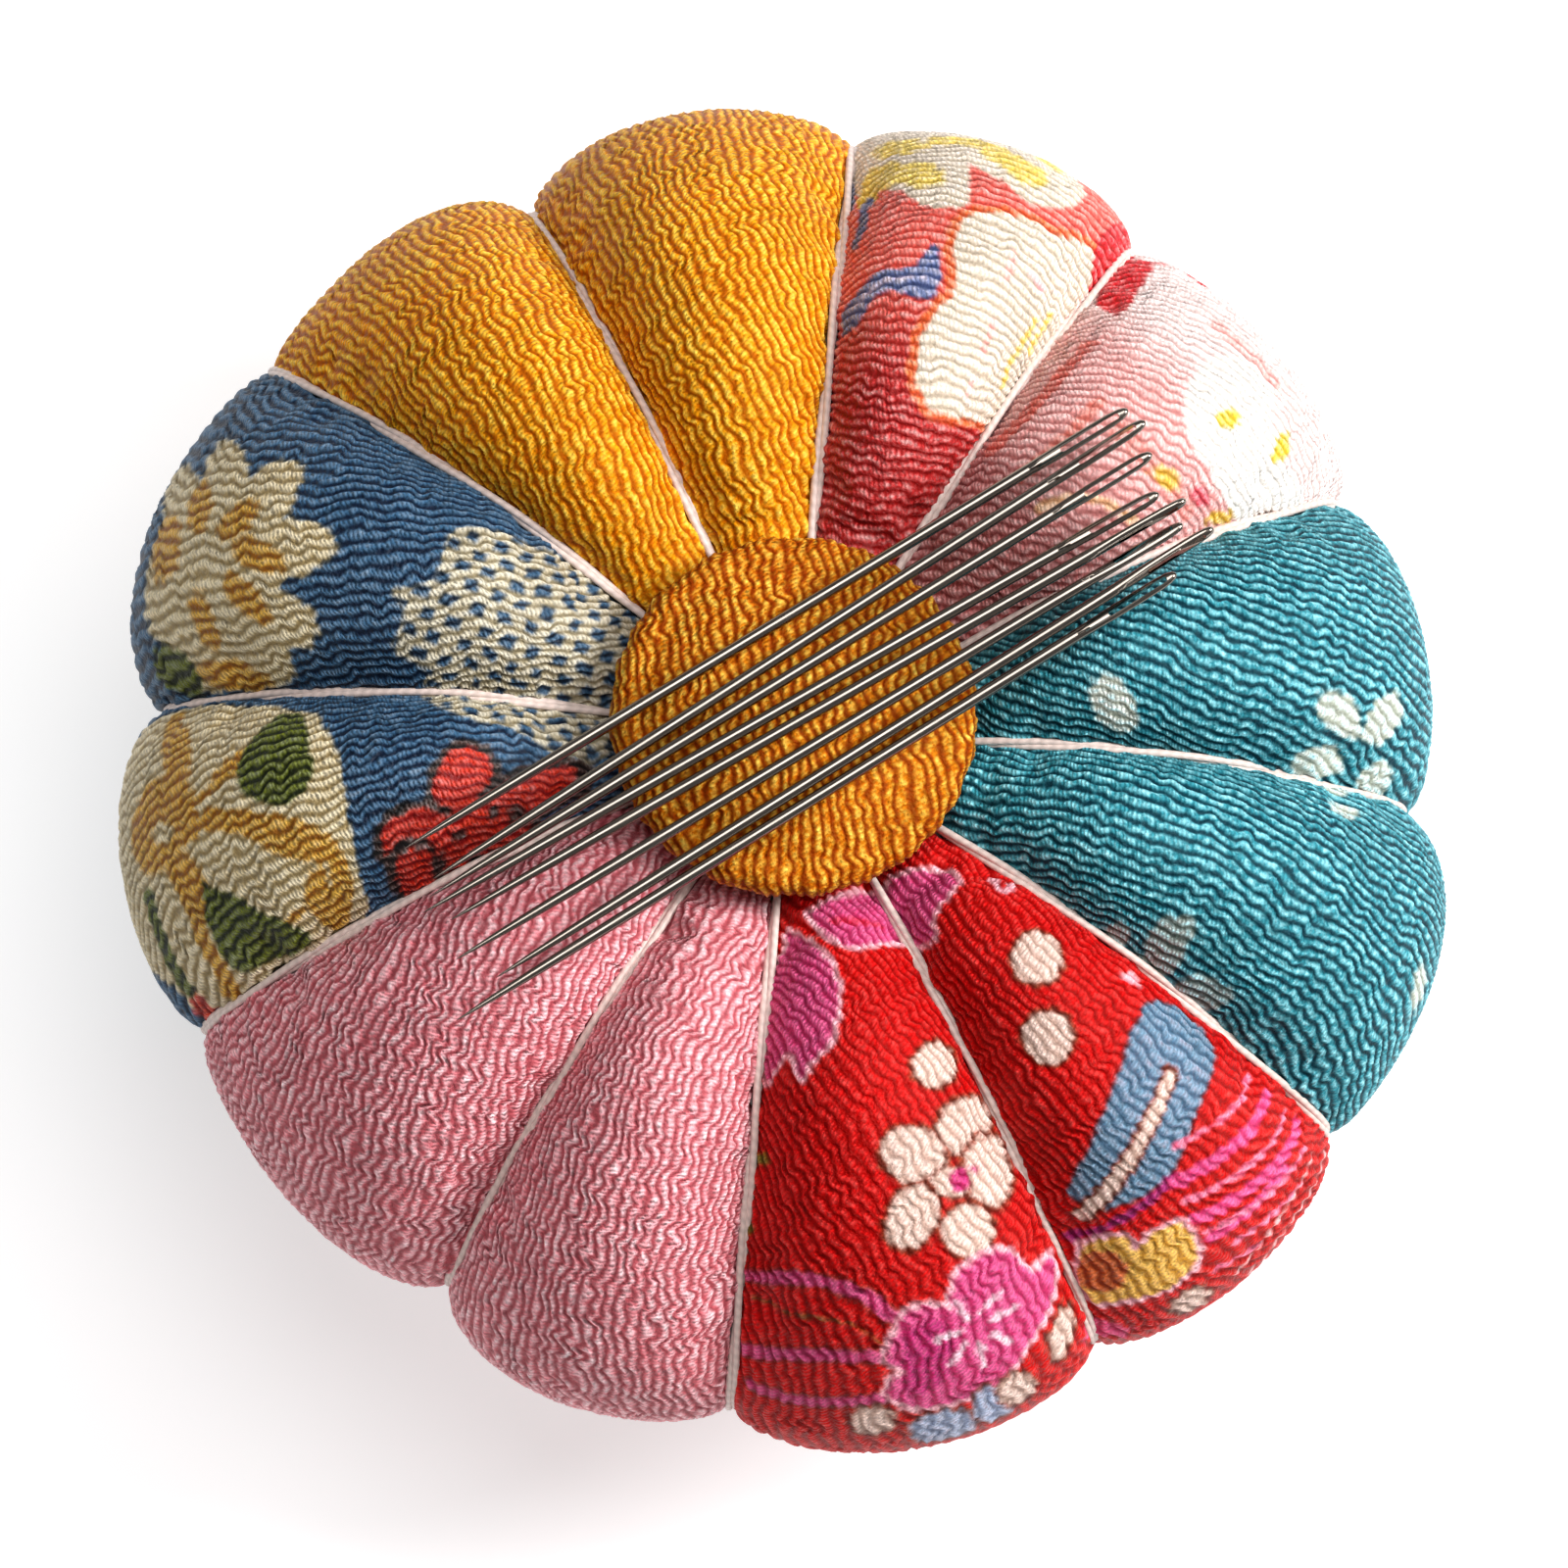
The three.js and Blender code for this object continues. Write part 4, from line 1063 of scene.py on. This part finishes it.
def make_gore(gore):
    name = GORE_NAMES[gore]
    grid = gore_grid(gore)
    rows, columns = grid.shape[:2]
    normals = grid_normals(grid)
    x, y = cloth_places(gore, grid)
    ridge, grain = crepe_ridges(x, y, GRAIN[name], 10 * gore + 3)
    taper = smooth(0, EDGE_TAPER, x) * smooth(0, EDGE_TAPER, x.max() - x)
    relief = (ridge * RIDGE_HEIGHT - RIDGE_HEIGHT / 2) * taper - puckers(grid, x, gore + 40)
    cloth = grid + normals * relief[..., None]
    lining = (grid - normals * COVER_THICKNESS)[::LINING_STEP, ::LINING_STEP]
    points = np.concatenate([cloth.reshape(-1, 3), lining.reshape(-1, 3)])
    faces = grid_faces(rows, columns)
    faces += grid_faces(*lining.shape[:2], offset=rows * columns, flip=True)
    faces += rim_faces(rows, columns, lining.shape[1], rows * columns)
    piece = make_piece(GORE_NODES[gore] + "_cloth", to_frame(points), faces, CREPES[name])
    ground, painter = PRINTS[name]
    dyed = Print(gore, grid, x, y, ground)
    if painter:
        painter(dyed)

    def everywhere(values):
        sparse = values[::LINING_STEP, ::LINING_STEP]
        return np.concatenate([values.reshape(-1, values.shape[-1]), sparse.reshape(-1, values.shape[-1])])

    opaque = np.ones((rows, columns, 1))
    set_attribute(piece, "print", "FLOAT_COLOR", everywhere(np.concatenate([dyed.colour, opaque], -1)))
    set_attribute(piece, "grain", "FLOAT_VECTOR", everywhere(grain))
    stand_for(piece, "crepe_" + name.removesuffix("_floral"), GORE_NODES[gore])


for gore_index in range(len(GORE_NAMES)):
    make_gore(gore_index)

# ---- stuffing ----


STUFFING_ROWS, STUFFING_COLUMNS = 60, 10  # the columns are for each lobe
STUFFING_INSET, STUFFING_LUMPS = 1.25, 0.25


def make_stuffing():
    stations = np.linspace(0, 1, STUFFING_ROWS)
    across = np.arange(STUFFING_COLUMNS) / STUFFING_COLUMNS
    grid = np.concatenate([settled_lobe(lobe, across, stations) for lobe in range(LOBES)], 1)
    normals = grid_normals(np.concatenate([grid, grid[:, :1]], 1))[:, :-1]
    lumps = noise(grid[..., 0] / 3, grid[..., 1] / 3 + grid[..., 2] / 4, 5)
    grid = grid - normals * (STUFFING_INSET + STUFFING_LUMPS * lumps[..., None])
    rows, columns = grid.shape[:2]
    faces = grid_faces(rows, columns, wrap=True)
    last = columns * (rows - 1)
    for c in range(columns):
        ahead = (c + 1) % columns
        faces.append([ahead, c, last + c, last + ahead])
    piece = make_piece("stuffing_fibre", to_frame(grid.reshape(-1, 3)), faces, FIBRE)
    stand_for(piece, "stuffing", "stuffing")


make_stuffing()

# ---- threads ----


def swept_tube(path, radius, sides, start):
    """Points, faces and winding of a tube along a path of points, with closed ends."""
    tangent = unit(np.gradient(path, axis=0))
    side = np.cross(tangent[0], [0, 0, 1] if abs(tangent[0][2]) < 0.9 else [1, 0, 0])
    frames = []
    for direction in tangent:
        side = side - direction * side.dot(direction)
        side /= np.linalg.norm(side)
        frames.append((side, np.cross(direction, side)))
    turn = circle(sides)
    rings = [
        centre + radius * (np.outer(np.cos(turn), u) + np.outer(np.sin(turn), v))
        for centre, (u, v) in zip(path, frames)
    ]
    points = np.concatenate([*rings, path[:1], path[-1:]])
    faces = grid_faces(len(path), sides, wrap=True, offset=start)
    first, last = start + len(path) * sides, start + len(path) * sides + 1
    final_ring = start + (len(path) - 1) * sides
    faces += [[first, start + (k + 1) % sides, start + k] for k in range(sides)]
    faces += [[last, final_ring + k, final_ring + (k + 1) % sides] for k in range(sides)]
    run = run_along(path)
    wind = (run[:, None] * 9 + turn[None, :]).ravel()
    return points, faces, np.concatenate([wind, [0, 0]])


def make_strands(name, paths, radius, sides, material):
    """One piece of a tube along each path."""
    points, faces, wind = [], [], []
    for path in paths:
        tube, tube_faces, tube_wind = swept_tube(path, radius, sides, sum(map(len, points)))
        points.append(tube)
        faces += tube_faces
        wind.append(tube_wind)
    piece = make_piece(name, to_frame(np.concatenate(points)), faces, material)
    set_attribute(piece, "wind", "FLOAT", np.concatenate(wind))
    return piece


GROOVE_PLIES = 2
PLY_RADIUS, PLY_SPREAD, PLY_SIDES = 0.23, 0.16, 10
TWIST_LENGTH = 26


def ply_paths(path):
    """The middle lines of a thread's plies, which wind round its path."""
    run = run_along(path)
    count = max(int(run[-1] / 0.5), 8)
    even = np.linspace(0, run[-1], count)
    path = path_points(path, run, even)
    tangent = unit(np.gradient(path, axis=0))
    out = path - np.array([0, 0, CUSHION_HEIGHT / 2])
    side = unit(np.cross(tangent, out))
    up = np.cross(side, tangent)
    turns = [2 * np.pi * (even / TWIST_LENGTH + ply / GROOVE_PLIES) for ply in range(GROOVE_PLIES)]
    return [
        path + PLY_SPREAD * (np.cos(turn)[:, None] * side + np.sin(turn)[:, None] * up) for turn in turns
    ]


THREAD_LIFT = 0.36
THREAD_START, THREAD_END = 0.04, 0.965


def groove_path(index):
    t = np.linspace(THREAD_START, THREAD_END, 160)
    line = groove_line(index, t)
    direction = unit(np.gradient(line, axis=0))
    outward = np.stack([-direction[:, 1], direction[:, 0]], 1)
    line = line + outward * THREAD_LIFT * (1 - smooth(0.3, 0.5, t))[:, None]
    return cylindrical(line[:, 0], groove_angle(index) + 0 * t, line[:, 1])


for thread_index in range(LOBES):
    node = f"groove_thread_{thread_index + 1:02d}"
    plies = ply_paths(groove_path(thread_index))
    stand_for(make_strands(node + "_plies", plies, PLY_RADIUS, PLY_SIDES, THREAD), "thread", node)

# ---- covered button ----

BUTTON_DOME_RADIUS = 22
BUTTON_CLOTH_THICKNESS = 0.6
BUTTON_FOLDS, FOLD_DEPTH = 23, 0.22
BUTTON_COLUMNS = 330  # a multiple of 3, as the lining has a third as many
BUTTON_RIM = 2


def button_profile():
    """Radius and height of the button's cloth from the middle over the rim to the tucked edge."""
    radius = (button_high.x - button_low.x) / 2 / MM
    top, bottom = level(button_high.z), level(button_low.z)
    shoulder = radius - BUTTON_RIM
    dome = np.linspace(0, shoulder, 40)
    points = [(r, top - r**2 / (2 * BUTTON_DOME_RADIUS)) for r in dome]
    edge = points[-1][1]
    half = (edge - bottom) / 2
    for turn in np.linspace(0.12, 1, 24) * np.pi:
        points.append((shoulder + BUTTON_RIM * math.sin(turn) ** 0.8, edge - half * (1 - math.cos(turn))))
    points += [(r, bottom + 0.05) for r in np.linspace(shoulder - 0.1, shoulder - 0.6, 3)]
    return np.array(points)


def make_button():
    profile = button_profile()
    run = run_along(profile)
    rows = int(run[-1] / 0.2)
    places = np.linspace(0, run[-1], rows)[1:]
    line = path_points(profile, run, places)
    columns = BUTTON_COLUMNS
    turn = np.linspace(0, 2 * np.pi, columns, endpoint=False)[None, :]
    grid = cylindrical(*np.broadcast_arrays(line[:, :1], turn, line[:, 1:]))
    x, y = places[:, None] * np.cos(turn), places[:, None] * np.sin(turn)
    ridge, grain = crepe_ridges(x, y, GRAIN["button"], 77)
    folds = np.cos(BUTTON_FOLDS * turn + 3 * noise(turn * 2, 0 * turn, 6))
    gather = smooth(7.5, 13, places)[:, None] * (0.5 + 0.5 * folds)
    normals = ring_normals(grid)
    fade = 1 - smooth(run[-1] - 2.5, run[-1] - 0.6, places)[:, None]
    relief = (ridge * RIDGE_HEIGHT - RIDGE_HEIGHT / 2 - FOLD_DEPTH * gather) * fade
    cloth = grid + normals * relief[..., None]
    inner = (grid - normals * BUTTON_CLOTH_THICKNESS)[::-1][::4, ::3]
    inner_rows, inner_columns = inner.shape[:2]
    points = np.concatenate([
        cloth.reshape(-1, 3), [[0, 0, cloth[0, :, 2].mean()]],
        inner.reshape(-1, 3), [[0, 0, inner[-1, :, 2].mean()]],
    ])
    last_row = (len(line) - 1) * columns
    middle = len(line) * columns
    inner_start = middle + 1
    faces = grid_faces(len(line), columns, wrap=True)
    faces += [[c, (c + 1) % columns, middle] for c in range(columns)]
    faces += grid_faces(inner_rows, inner_columns, wrap=True, offset=inner_start)
    final = inner_start + (inner_rows - 1) * inner_columns
    inner_middle = len(points) - 1
    faces += [[inner_middle, final + c, final + (c + 1) % inner_columns] for c in range(inner_columns)]
    for c in range(inner_columns):
        edge = [last_row + (3 * c + j) % columns for j in range(4)]
        here, ahead = inner_start + c, inner_start + (c + 1) % inner_columns
        faces += [[edge[0], edge[1], here], [edge[1], edge[2], here]]
        faces += [[edge[2], ahead, here], [edge[2], edge[3], ahead]]
    piece = make_piece("button_cover_cloth", to_frame(points), faces, CREPES["mustard"])
    grains = np.tile([0, 0, 0.5], (len(points), 1))
    grains[: ridge.size] = grain.reshape(-1, 3)
    set_attribute(piece, "print", "FLOAT_COLOR", np.tile([*BUTTON_MUSTARD, 1.0], (len(points), 1)))
    set_attribute(piece, "grain", "FLOAT_VECTOR", grains)
    stand_for(piece, "crepe_mustard", "button_cover")


make_button()

# ---- needles ----


# Along, half width and half thickness of the needle's sections, from the point to the eye end.
NEEDLE_SECTIONS = np.array([
    (-25.25, 0.012, 0.012), (-24.9, 0.05, 0.05), (-24.0, 0.12, 0.12), (-22.5, 0.20, 0.20),
    (-20.5, 0.27, 0.27), (-17.5, 0.33, 0.33), (-13.5, 0.365, 0.365), (-9.0, 0.375, 0.375),
    (10.0, 0.375, 0.375), (16.5, 0.375, 0.375), (18.3, 0.375, 0.36), (19.6, 0.40, 0.32),
    (20.8, 0.43, 0.29), (22.5, 0.435, 0.28), (24.0, 0.42, 0.28), (24.7, 0.36, 0.26),
    (25.08, 0.25, 0.22), (25.22, 0.12, 0.12), (25.25, 0.03, 0.03),
])
NEEDLE_LENGTH = np.ptp(NEEDLE_SECTIONS[:, 0]) * MM


def level_spindle(places, width, thick, centre_z, sides):
    """Points and faces of a closed tube along X, with a half width and half thickness at each place."""
    turn = circle(sides)
    rings = np.stack([
        places[:, None] + 0 * turn,
        width[:, None] * np.cos(turn),
        centre_z + thick[:, None] * np.sin(turn),
    ], -1)
    faces = grid_faces(len(places), sides, wrap=True, flip=True)
    return rings.reshape(-1, 3), faces + cap_faces(sides, (len(places) - 1) * sides)


def needle_body():
    edges, width, thick = NEEDLE_SECTIONS.T
    places = np.concatenate([np.linspace(a, b, 4)[:-1] for a, b in zip(edges[:-1], edges[1:])])
    places = np.append(places, edges[-1])
    return level_spindle(places, np.interp(places, edges, width), np.interp(places, edges, thick), 0, 20)


def eye_cutter(start, end, half_width, half_depth):
    """A long rounded slot that cuts the eye."""
    sides = 20
    turn = np.linspace(0, 2 * np.pi, sides, endpoint=False)
    middle, reach = (start + end) / 2, (end - start) / 2 - half_width
    x = middle + np.sign(np.cos(turn)) * reach + half_width * np.cos(turn)
    y = half_width * np.sin(turn)
    points = [(a, b, side * half_depth) for side in (-1, 1) for a, b in zip(x, y)]
    faces = [[k, (k + 1) % sides, sides + (k + 1) % sides, sides + k] for k in range(sides)]
    return points, faces + cap_faces(sides, sides, flip=True)


def gutter_cutter(side):
    """A round-bottomed trough that leads to the eye on one of its faces and runs out at both ends."""
    places = np.linspace(18.2, 25.0, 23)
    share = np.sin(np.pi * (places - places[0]) / np.ptp(places)) ** 0.5
    return level_spindle(places, 0.02 + 0.18 * share, 0.02 + 0.13 * share, side * 0.32, 16)


def cut(piece, cutter_points, cutter_faces):
    cutter = make_piece("cutter", cutter_points, cutter_faces, STEEL)
    modifier = piece.modifiers.new("cut", "BOOLEAN")
    modifier.operation, modifier.solver, modifier.object = "DIFFERENCE", "EXACT", cutter
    evaluated = piece.evaluated_get(bpy.context.evaluated_depsgraph_get())
    piece.data = bpy.data.meshes.new_from_object(evaluated)
    piece.modifiers.clear()
    bpy.data.objects.remove(cutter)


def make_needle_mesh():
    piece = make_piece("needle_shape", *needle_body(), STEEL)
    cut(piece, *eye_cutter(start=20.5, end=24.6, half_width=0.17, half_depth=1.0))
    for side in (-1, 1):
        cut(piece, *gutter_cutter(side))
    mesh = piece.data
    bpy.data.objects.remove(piece)
    return mesh


def needle_ends(node):
    """The point and the eye end of a CAD needle, in metres."""
    points = np.array([v.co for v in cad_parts[node].data.vertices])
    low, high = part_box(node)
    reach = (points - np.array(low)) @ np.array([high.x - low.x, high.y - low.y, 0])
    point = points[reach.argmin()]
    far = points[reach > reach.max() - 0.02 * np.ptp(reach)]
    return Vector(point), Vector((far.min(0) + far.max(0)) / 2)


EYE_EDGE_ANGLE = 0.6
NEEDLE_ROLLS = [6, -9, 12, -3, 68, -32, 52, -5]  # degrees, how far each eye is turned from level


def make_needles():
    shape = make_needle_mesh()
    for number, roll in enumerate(NEEDLE_ROLLS, 1):
        node = f"needle_{number}"
        point, eye = needle_ends(node)
        direction = (eye - point).normalized()
        aside = Vector((0, 0, 1)).cross(direction).normalized()
        up = direction.cross(aside)
        turn = Matrix((direction, aside, up)).transposed() @ Matrix.Rotation(math.radians(roll), 3, "X")
        mesh = shape.copy()
        middle = Matrix.Translation(point + direction * NEEDLE_LENGTH / 2)
        for change in (Matrix.Scale(MM, 4), turn.to_4x4(), middle):
            mesh.transform(change)
        mesh.polygons.foreach_set("use_smooth", [True] * len(mesh.polygons))
        mesh.set_sharp_from_angle(angle=EYE_EDGE_ANGLE)
        stand_for(add_object(node + "_steel", mesh), "needle_steel", node, body=node)
    bpy.data.meshes.remove(shape)


make_needles()

# ---- base felt and its whip stitches ----

felt_low, felt_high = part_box("base_felt")
FELT_RADIUS = (felt_high.x - felt_low.x) / 2 / MM
FELT_BOTTOM, FELT_TOP = level(felt_low.z), level(felt_high.z)
FELT_STITCHES = 60
STITCH_LEAN = 0.035
STITCH_RADIUS, BAND_STITCH_RADIUS, STITCH_SIDES = 0.2, 0.17, 8


def cover_underside(angle, radius):
    """Height of the cover's underside above a place on the base."""
    degrees = np.degrees(angle) % 360
    edges = np.append(GROOVE_DEGREES, GROOVE_DEGREES[0] + 360)
    turned = np.where(degrees < edges[0], degrees + 360, degrees)
    lobe = np.clip(np.searchsorted(edges, turned, side="right") - 1, 0, LOBES - 1)
    share = (turned - edges[lobe]) / (edges[lobe + 1] - edges[lobe])
    heights = []
    t = np.linspace(0.66, 1, 200)
    for k, s in zip(np.atleast_1d(lobe), np.atleast_1d(share)):
        line = lobe_surface(int(k), np.full(200, s), t)
        out = np.hypot(line[:, 0], line[:, 1])
        heights.append(np.interp(radius, out[::-1], line[::-1, 2]))
    return np.array(heights)


def make_felt():
    columns = 240
    turn = circle(columns)
    lift = cover_underside(turn, FELT_RADIUS) - 0.25
    rim_wave = 0.12 * noise(turn * 8, 0 * turn, 9)
    radii = [*np.linspace(0.2, FELT_RADIUS - 4, 14), *np.linspace(FELT_RADIUS - 3.5, FELT_RADIUS, 10)]
    rows = [("low", radius) for radius in radii] + [("edge", FELT_RADIUS + 0.22)]
    rows += [("high", radius) for radius in reversed(radii)]
    grid = []
    for kind, radius in rows:
        bend = 0.9 if kind == "edge" else smooth(FELT_RADIUS - 3.6, FELT_RADIUS + 0.6, radius)
        low = FELT_BOTTOM + bend * (lift - 1.2 - FELT_BOTTOM) * 0.8
        high = FELT_TOP + bend * (lift - FELT_TOP)
        height = {"low": low, "high": high, "edge": (low + high) / 2}[kind]
        reach = radius + rim_wave * smooth(FELT_RADIUS - 3, FELT_RADIUS, radius)
        fuzz = 0.05 * noise(reach * np.cos(turn) / 0.7, reach * np.sin(turn) / 0.7, 13)
        grid.append(cylindrical(reach, turn, height + fuzz))
    grid = np.array(grid)
    faces = grid_faces(len(grid), columns, wrap=True, flip=True)
    faces += cap_faces(columns, (len(grid) - 1) * columns)
    piece = make_piece("base_felt_disc", to_frame(grid.reshape(-1, 3)), faces, FELT)
    stand_for(piece, "felt", "base_felt")


def make_felt_stitches():
    """Slanted whip stitches over the felt's edge, each going into the felt and up into the cover."""
    paths = []
    for angle in circle(FELT_STITCHES):
        height = float(cover_underside(np.array([angle]), FELT_RADIUS + 1.3)[0])
        knots = [
            (FELT_RADIUS - 1.7, angle - STITCH_LEAN, FELT_BOTTOM + 0.35),
            (FELT_RADIUS - 0.9, angle - STITCH_LEAN * 0.6, FELT_BOTTOM - 0.08),
            (FELT_RADIUS + 0.35, angle, (FELT_BOTTOM + height) / 2 - 0.5),
            (FELT_RADIUS + 1.0, angle + STITCH_LEAN * 0.6, height - 0.35),
            (FELT_RADIUS + 1.3, angle + STITCH_LEAN, height + 0.3),
        ]
        paths.append(spline([cylindrical(*knot) for knot in knots], np.linspace(0, 1, 14)))
    piece = make_strands("felt_whip_stitches", paths, STITCH_RADIUS, STITCH_SIDES, FELT_THREAD)
    stand_for(piece, "felt_thread", "felt_stitching")


# ---- elastic wrist band ----

run_low, run_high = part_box("wristband_lower_run")
upper_low, upper_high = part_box("wristband_upper_run")
left_low, right_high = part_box("wristband_side_left")[0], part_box("wristband_side_right")[1]
BAND_RIBS, RIB_HEIGHT = 16, 0.00013
BAND_STITCHES = 22


def band_loop():
    """The band's middle line in X and Z, once round, in metres."""
    thickness = run_high.z - run_low.z
    radius = (upper_high.z - run_low.z - thickness) / 2
    centre_z = (upper_high.z + run_low.z) / 2
    right_x = right_high.x - thickness / 2 - radius
    left_x = left_low.x + thickness / 2 + radius
    points = []
    for side, start_x, end_x in [(1, left_x, right_x), (-1, right_x, left_x)]:
        points += [(x, centre_z - side * radius) for x in np.linspace(start_x, end_x, 120)]
        points += [(end_x + side * radius * math.sin(a), centre_z - side * radius * math.cos(a))
                   for a in np.linspace(0, np.pi, 26)[1:-1]]
    return np.array(points), thickness


def make_band():
    line, thickness = band_loop()
    tangent = unit(np.roll(line, -1, 0) - np.roll(line, 1, 0))
    outward = np.stack([tangent[:, 1], -tangent[:, 0]], 1)
    run = run_along(line)
    width = run_high.y - run_low.y
    middle_y = (run_high.y + run_low.y) / 2
    across = np.linspace(-0.5, 0.5, BAND_RIBS * 8 + 1)
    rib_wave = 0.5 - 0.5 * np.cos(2 * np.pi * BAND_RIBS * (across + 0.5))
    edge = np.sqrt(np.clip(1 - (np.abs(across) * 2) ** 24, 0, 1))
    half = (thickness / 2 - RIB_HEIGHT + RIB_HEIGHT * rib_wave) * (0.35 + 0.65 * edge)
    section_y = np.concatenate([across, across[::-1]]) * width + middle_y
    section_out = np.concatenate([half, -half[::-1]])
    rib_value = np.concatenate([rib_wave, rib_wave[::-1]])
    grid = np.array([
        np.stack([p[0] + o[0] * section_out, section_y, p[1] + o[1] * section_out], 1)
        for p, o in zip(line, outward)
    ])
    rows, columns = grid.shape[:2]
    faces = grid_faces(rows, columns, wrap=True)
    last = (rows - 1) * columns
    faces += [[last + c, last + (c + 1) % columns, (c + 1) % columns, c] for c in range(columns)]
    piece = make_piece("wristband_loop", grid.reshape(-1, 3), faces, ELASTIC)
    set_attribute(piece, "rib", "FLOAT", np.tile(rib_value, rows))
    set_attribute(piece, "course", "FLOAT", np.repeat(run[:rows] / MM, columns))
    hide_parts("wristband_lower_run", "wristband_upper_run",
                "wristband_side_left", "wristband_side_right")
    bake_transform(piece)


def make_band_stitches(node):
    """A row of zigzag stitches that holds the band to the felt."""
    low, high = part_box(node)
    sway = (high.x - low.x) / 2 - 0.0003
    x, z = (low.x + high.x) / 2, upper_low.z - 0.00008
    path = []
    for half_step in range(2 * BAND_STITCHES + 1):
        y = low.y + (high.y - low.y) * (half_step / 2) / BAND_STITCHES
        side, lift = ((1, 0.00035), (0, 0), (-1, 0.00035), (0, 0))[half_step % 4]
        path.append(((x - POLE.x + side * sway) / MM, (y - POLE.y) / MM, level(z + lift)))
    dense = spline(path, np.linspace(0, 1, len(path) * 6))
    piece = make_strands(node + "_thread", [dense], BAND_STITCH_RADIUS, STITCH_SIDES, STITCH_THREAD)
    stand_for(piece, "thread", node)


make_band()
make_felt()
make_felt_stitches()
for stitch_node in ("band_stitching_left", "band_stitching_right"):
    make_band_stitches(stitch_node)

# ---- CAD pieces that keep their shape ----

KEPT = {
    "centre_tie": THREAD, "tie_knot": THREAD, "needle_guard": GUARD,
    "button_shell": PRESSED_METAL, "button_back": PRESSED_METAL, "button_shank": PRESSED_METAL,
}
for kept_node, kept_material in KEPT.items():
    kept_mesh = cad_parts[kept_node].data
    kept_mesh.materials.clear()
    kept_mesh.materials.append(kept_material)

# ---- floor, lights and camera ----


FLOOR_REACH = 2.0
LIGHT_TARGET_HEIGHT = 0.025


def make_floor():
    shader = Shader("paper_floor", Roughness=0.9, Emission_Strength=0.6)
    shader.paint(shader.mix(shader.noise(40, 3), (0.58, 0.58, 0.58), (0.62, 0.62, 0.62)))
    corners = [(x * FLOOR_REACH, y * FLOOR_REACH, 0) for x, y in [(-1, -1), (1, -1), (1, 1), (-1, 1)]]
    floor = make_piece("floor", corners, [[0, 1, 2, 3]], shader.material, smooth_shaded=False)
    floor.location.z = cad_low.z


def aim(placed, target, toward, distance):
    """Put a light or the camera at a distance from its target, and turn it to face the target."""
    placed.location = target + toward * distance
    placed.rotation_euler = toward.to_track_quat("Z", "Y").to_euler()


def add_area_light(name, azimuth, elevation, distance, size, power):
    """An area light aimed at the cushion; azimuth is counter-clockwise from +X."""
    a, e = math.radians(azimuth), math.radians(elevation)
    toward = Vector((math.cos(a) * math.cos(e), math.sin(a) * math.cos(e), math.sin(e)))
    data = bpy.data.lights.new(name, "AREA")
    data.shape, data.size, data.energy = "DISK", size, power
    aim(add_object(name, data), Vector((0, 0, LIGHT_TARGET_HEIGHT)), toward, distance)


def make_camera():
    data = bpy.data.cameras.new("camera")
    data.lens = data.sensor_width * VIEW_DISTANCE / VIEW_WIDTH
    data.clip_start, data.clip_end = 0.05, 20
    camera = add_object("camera", data)
    aim(camera, VIEW_TARGET, VIEW_TOWARD, VIEW_DISTANCE)
    bpy.context.scene.camera = camera


def make_light():
    world = bpy.data.worlds.new("studio")
    world.use_nodes = True
    world.node_tree.nodes["Background"].inputs[0].default_value = (1, 1, 1, 1)
    world.node_tree.nodes["Background"].inputs[1].default_value = 0.2
    bpy.context.scene.world = world
    add_area_light("key", azimuth=9, elevation=41, distance=0.9, size=0.33, power=9.8)
    add_area_light("top", azimuth=60, elevation=78, distance=1.1, size=0.7, power=7)
    bpy.context.scene.view_settings.view_transform = "Standard"


make_floor()
make_camera()
make_light()
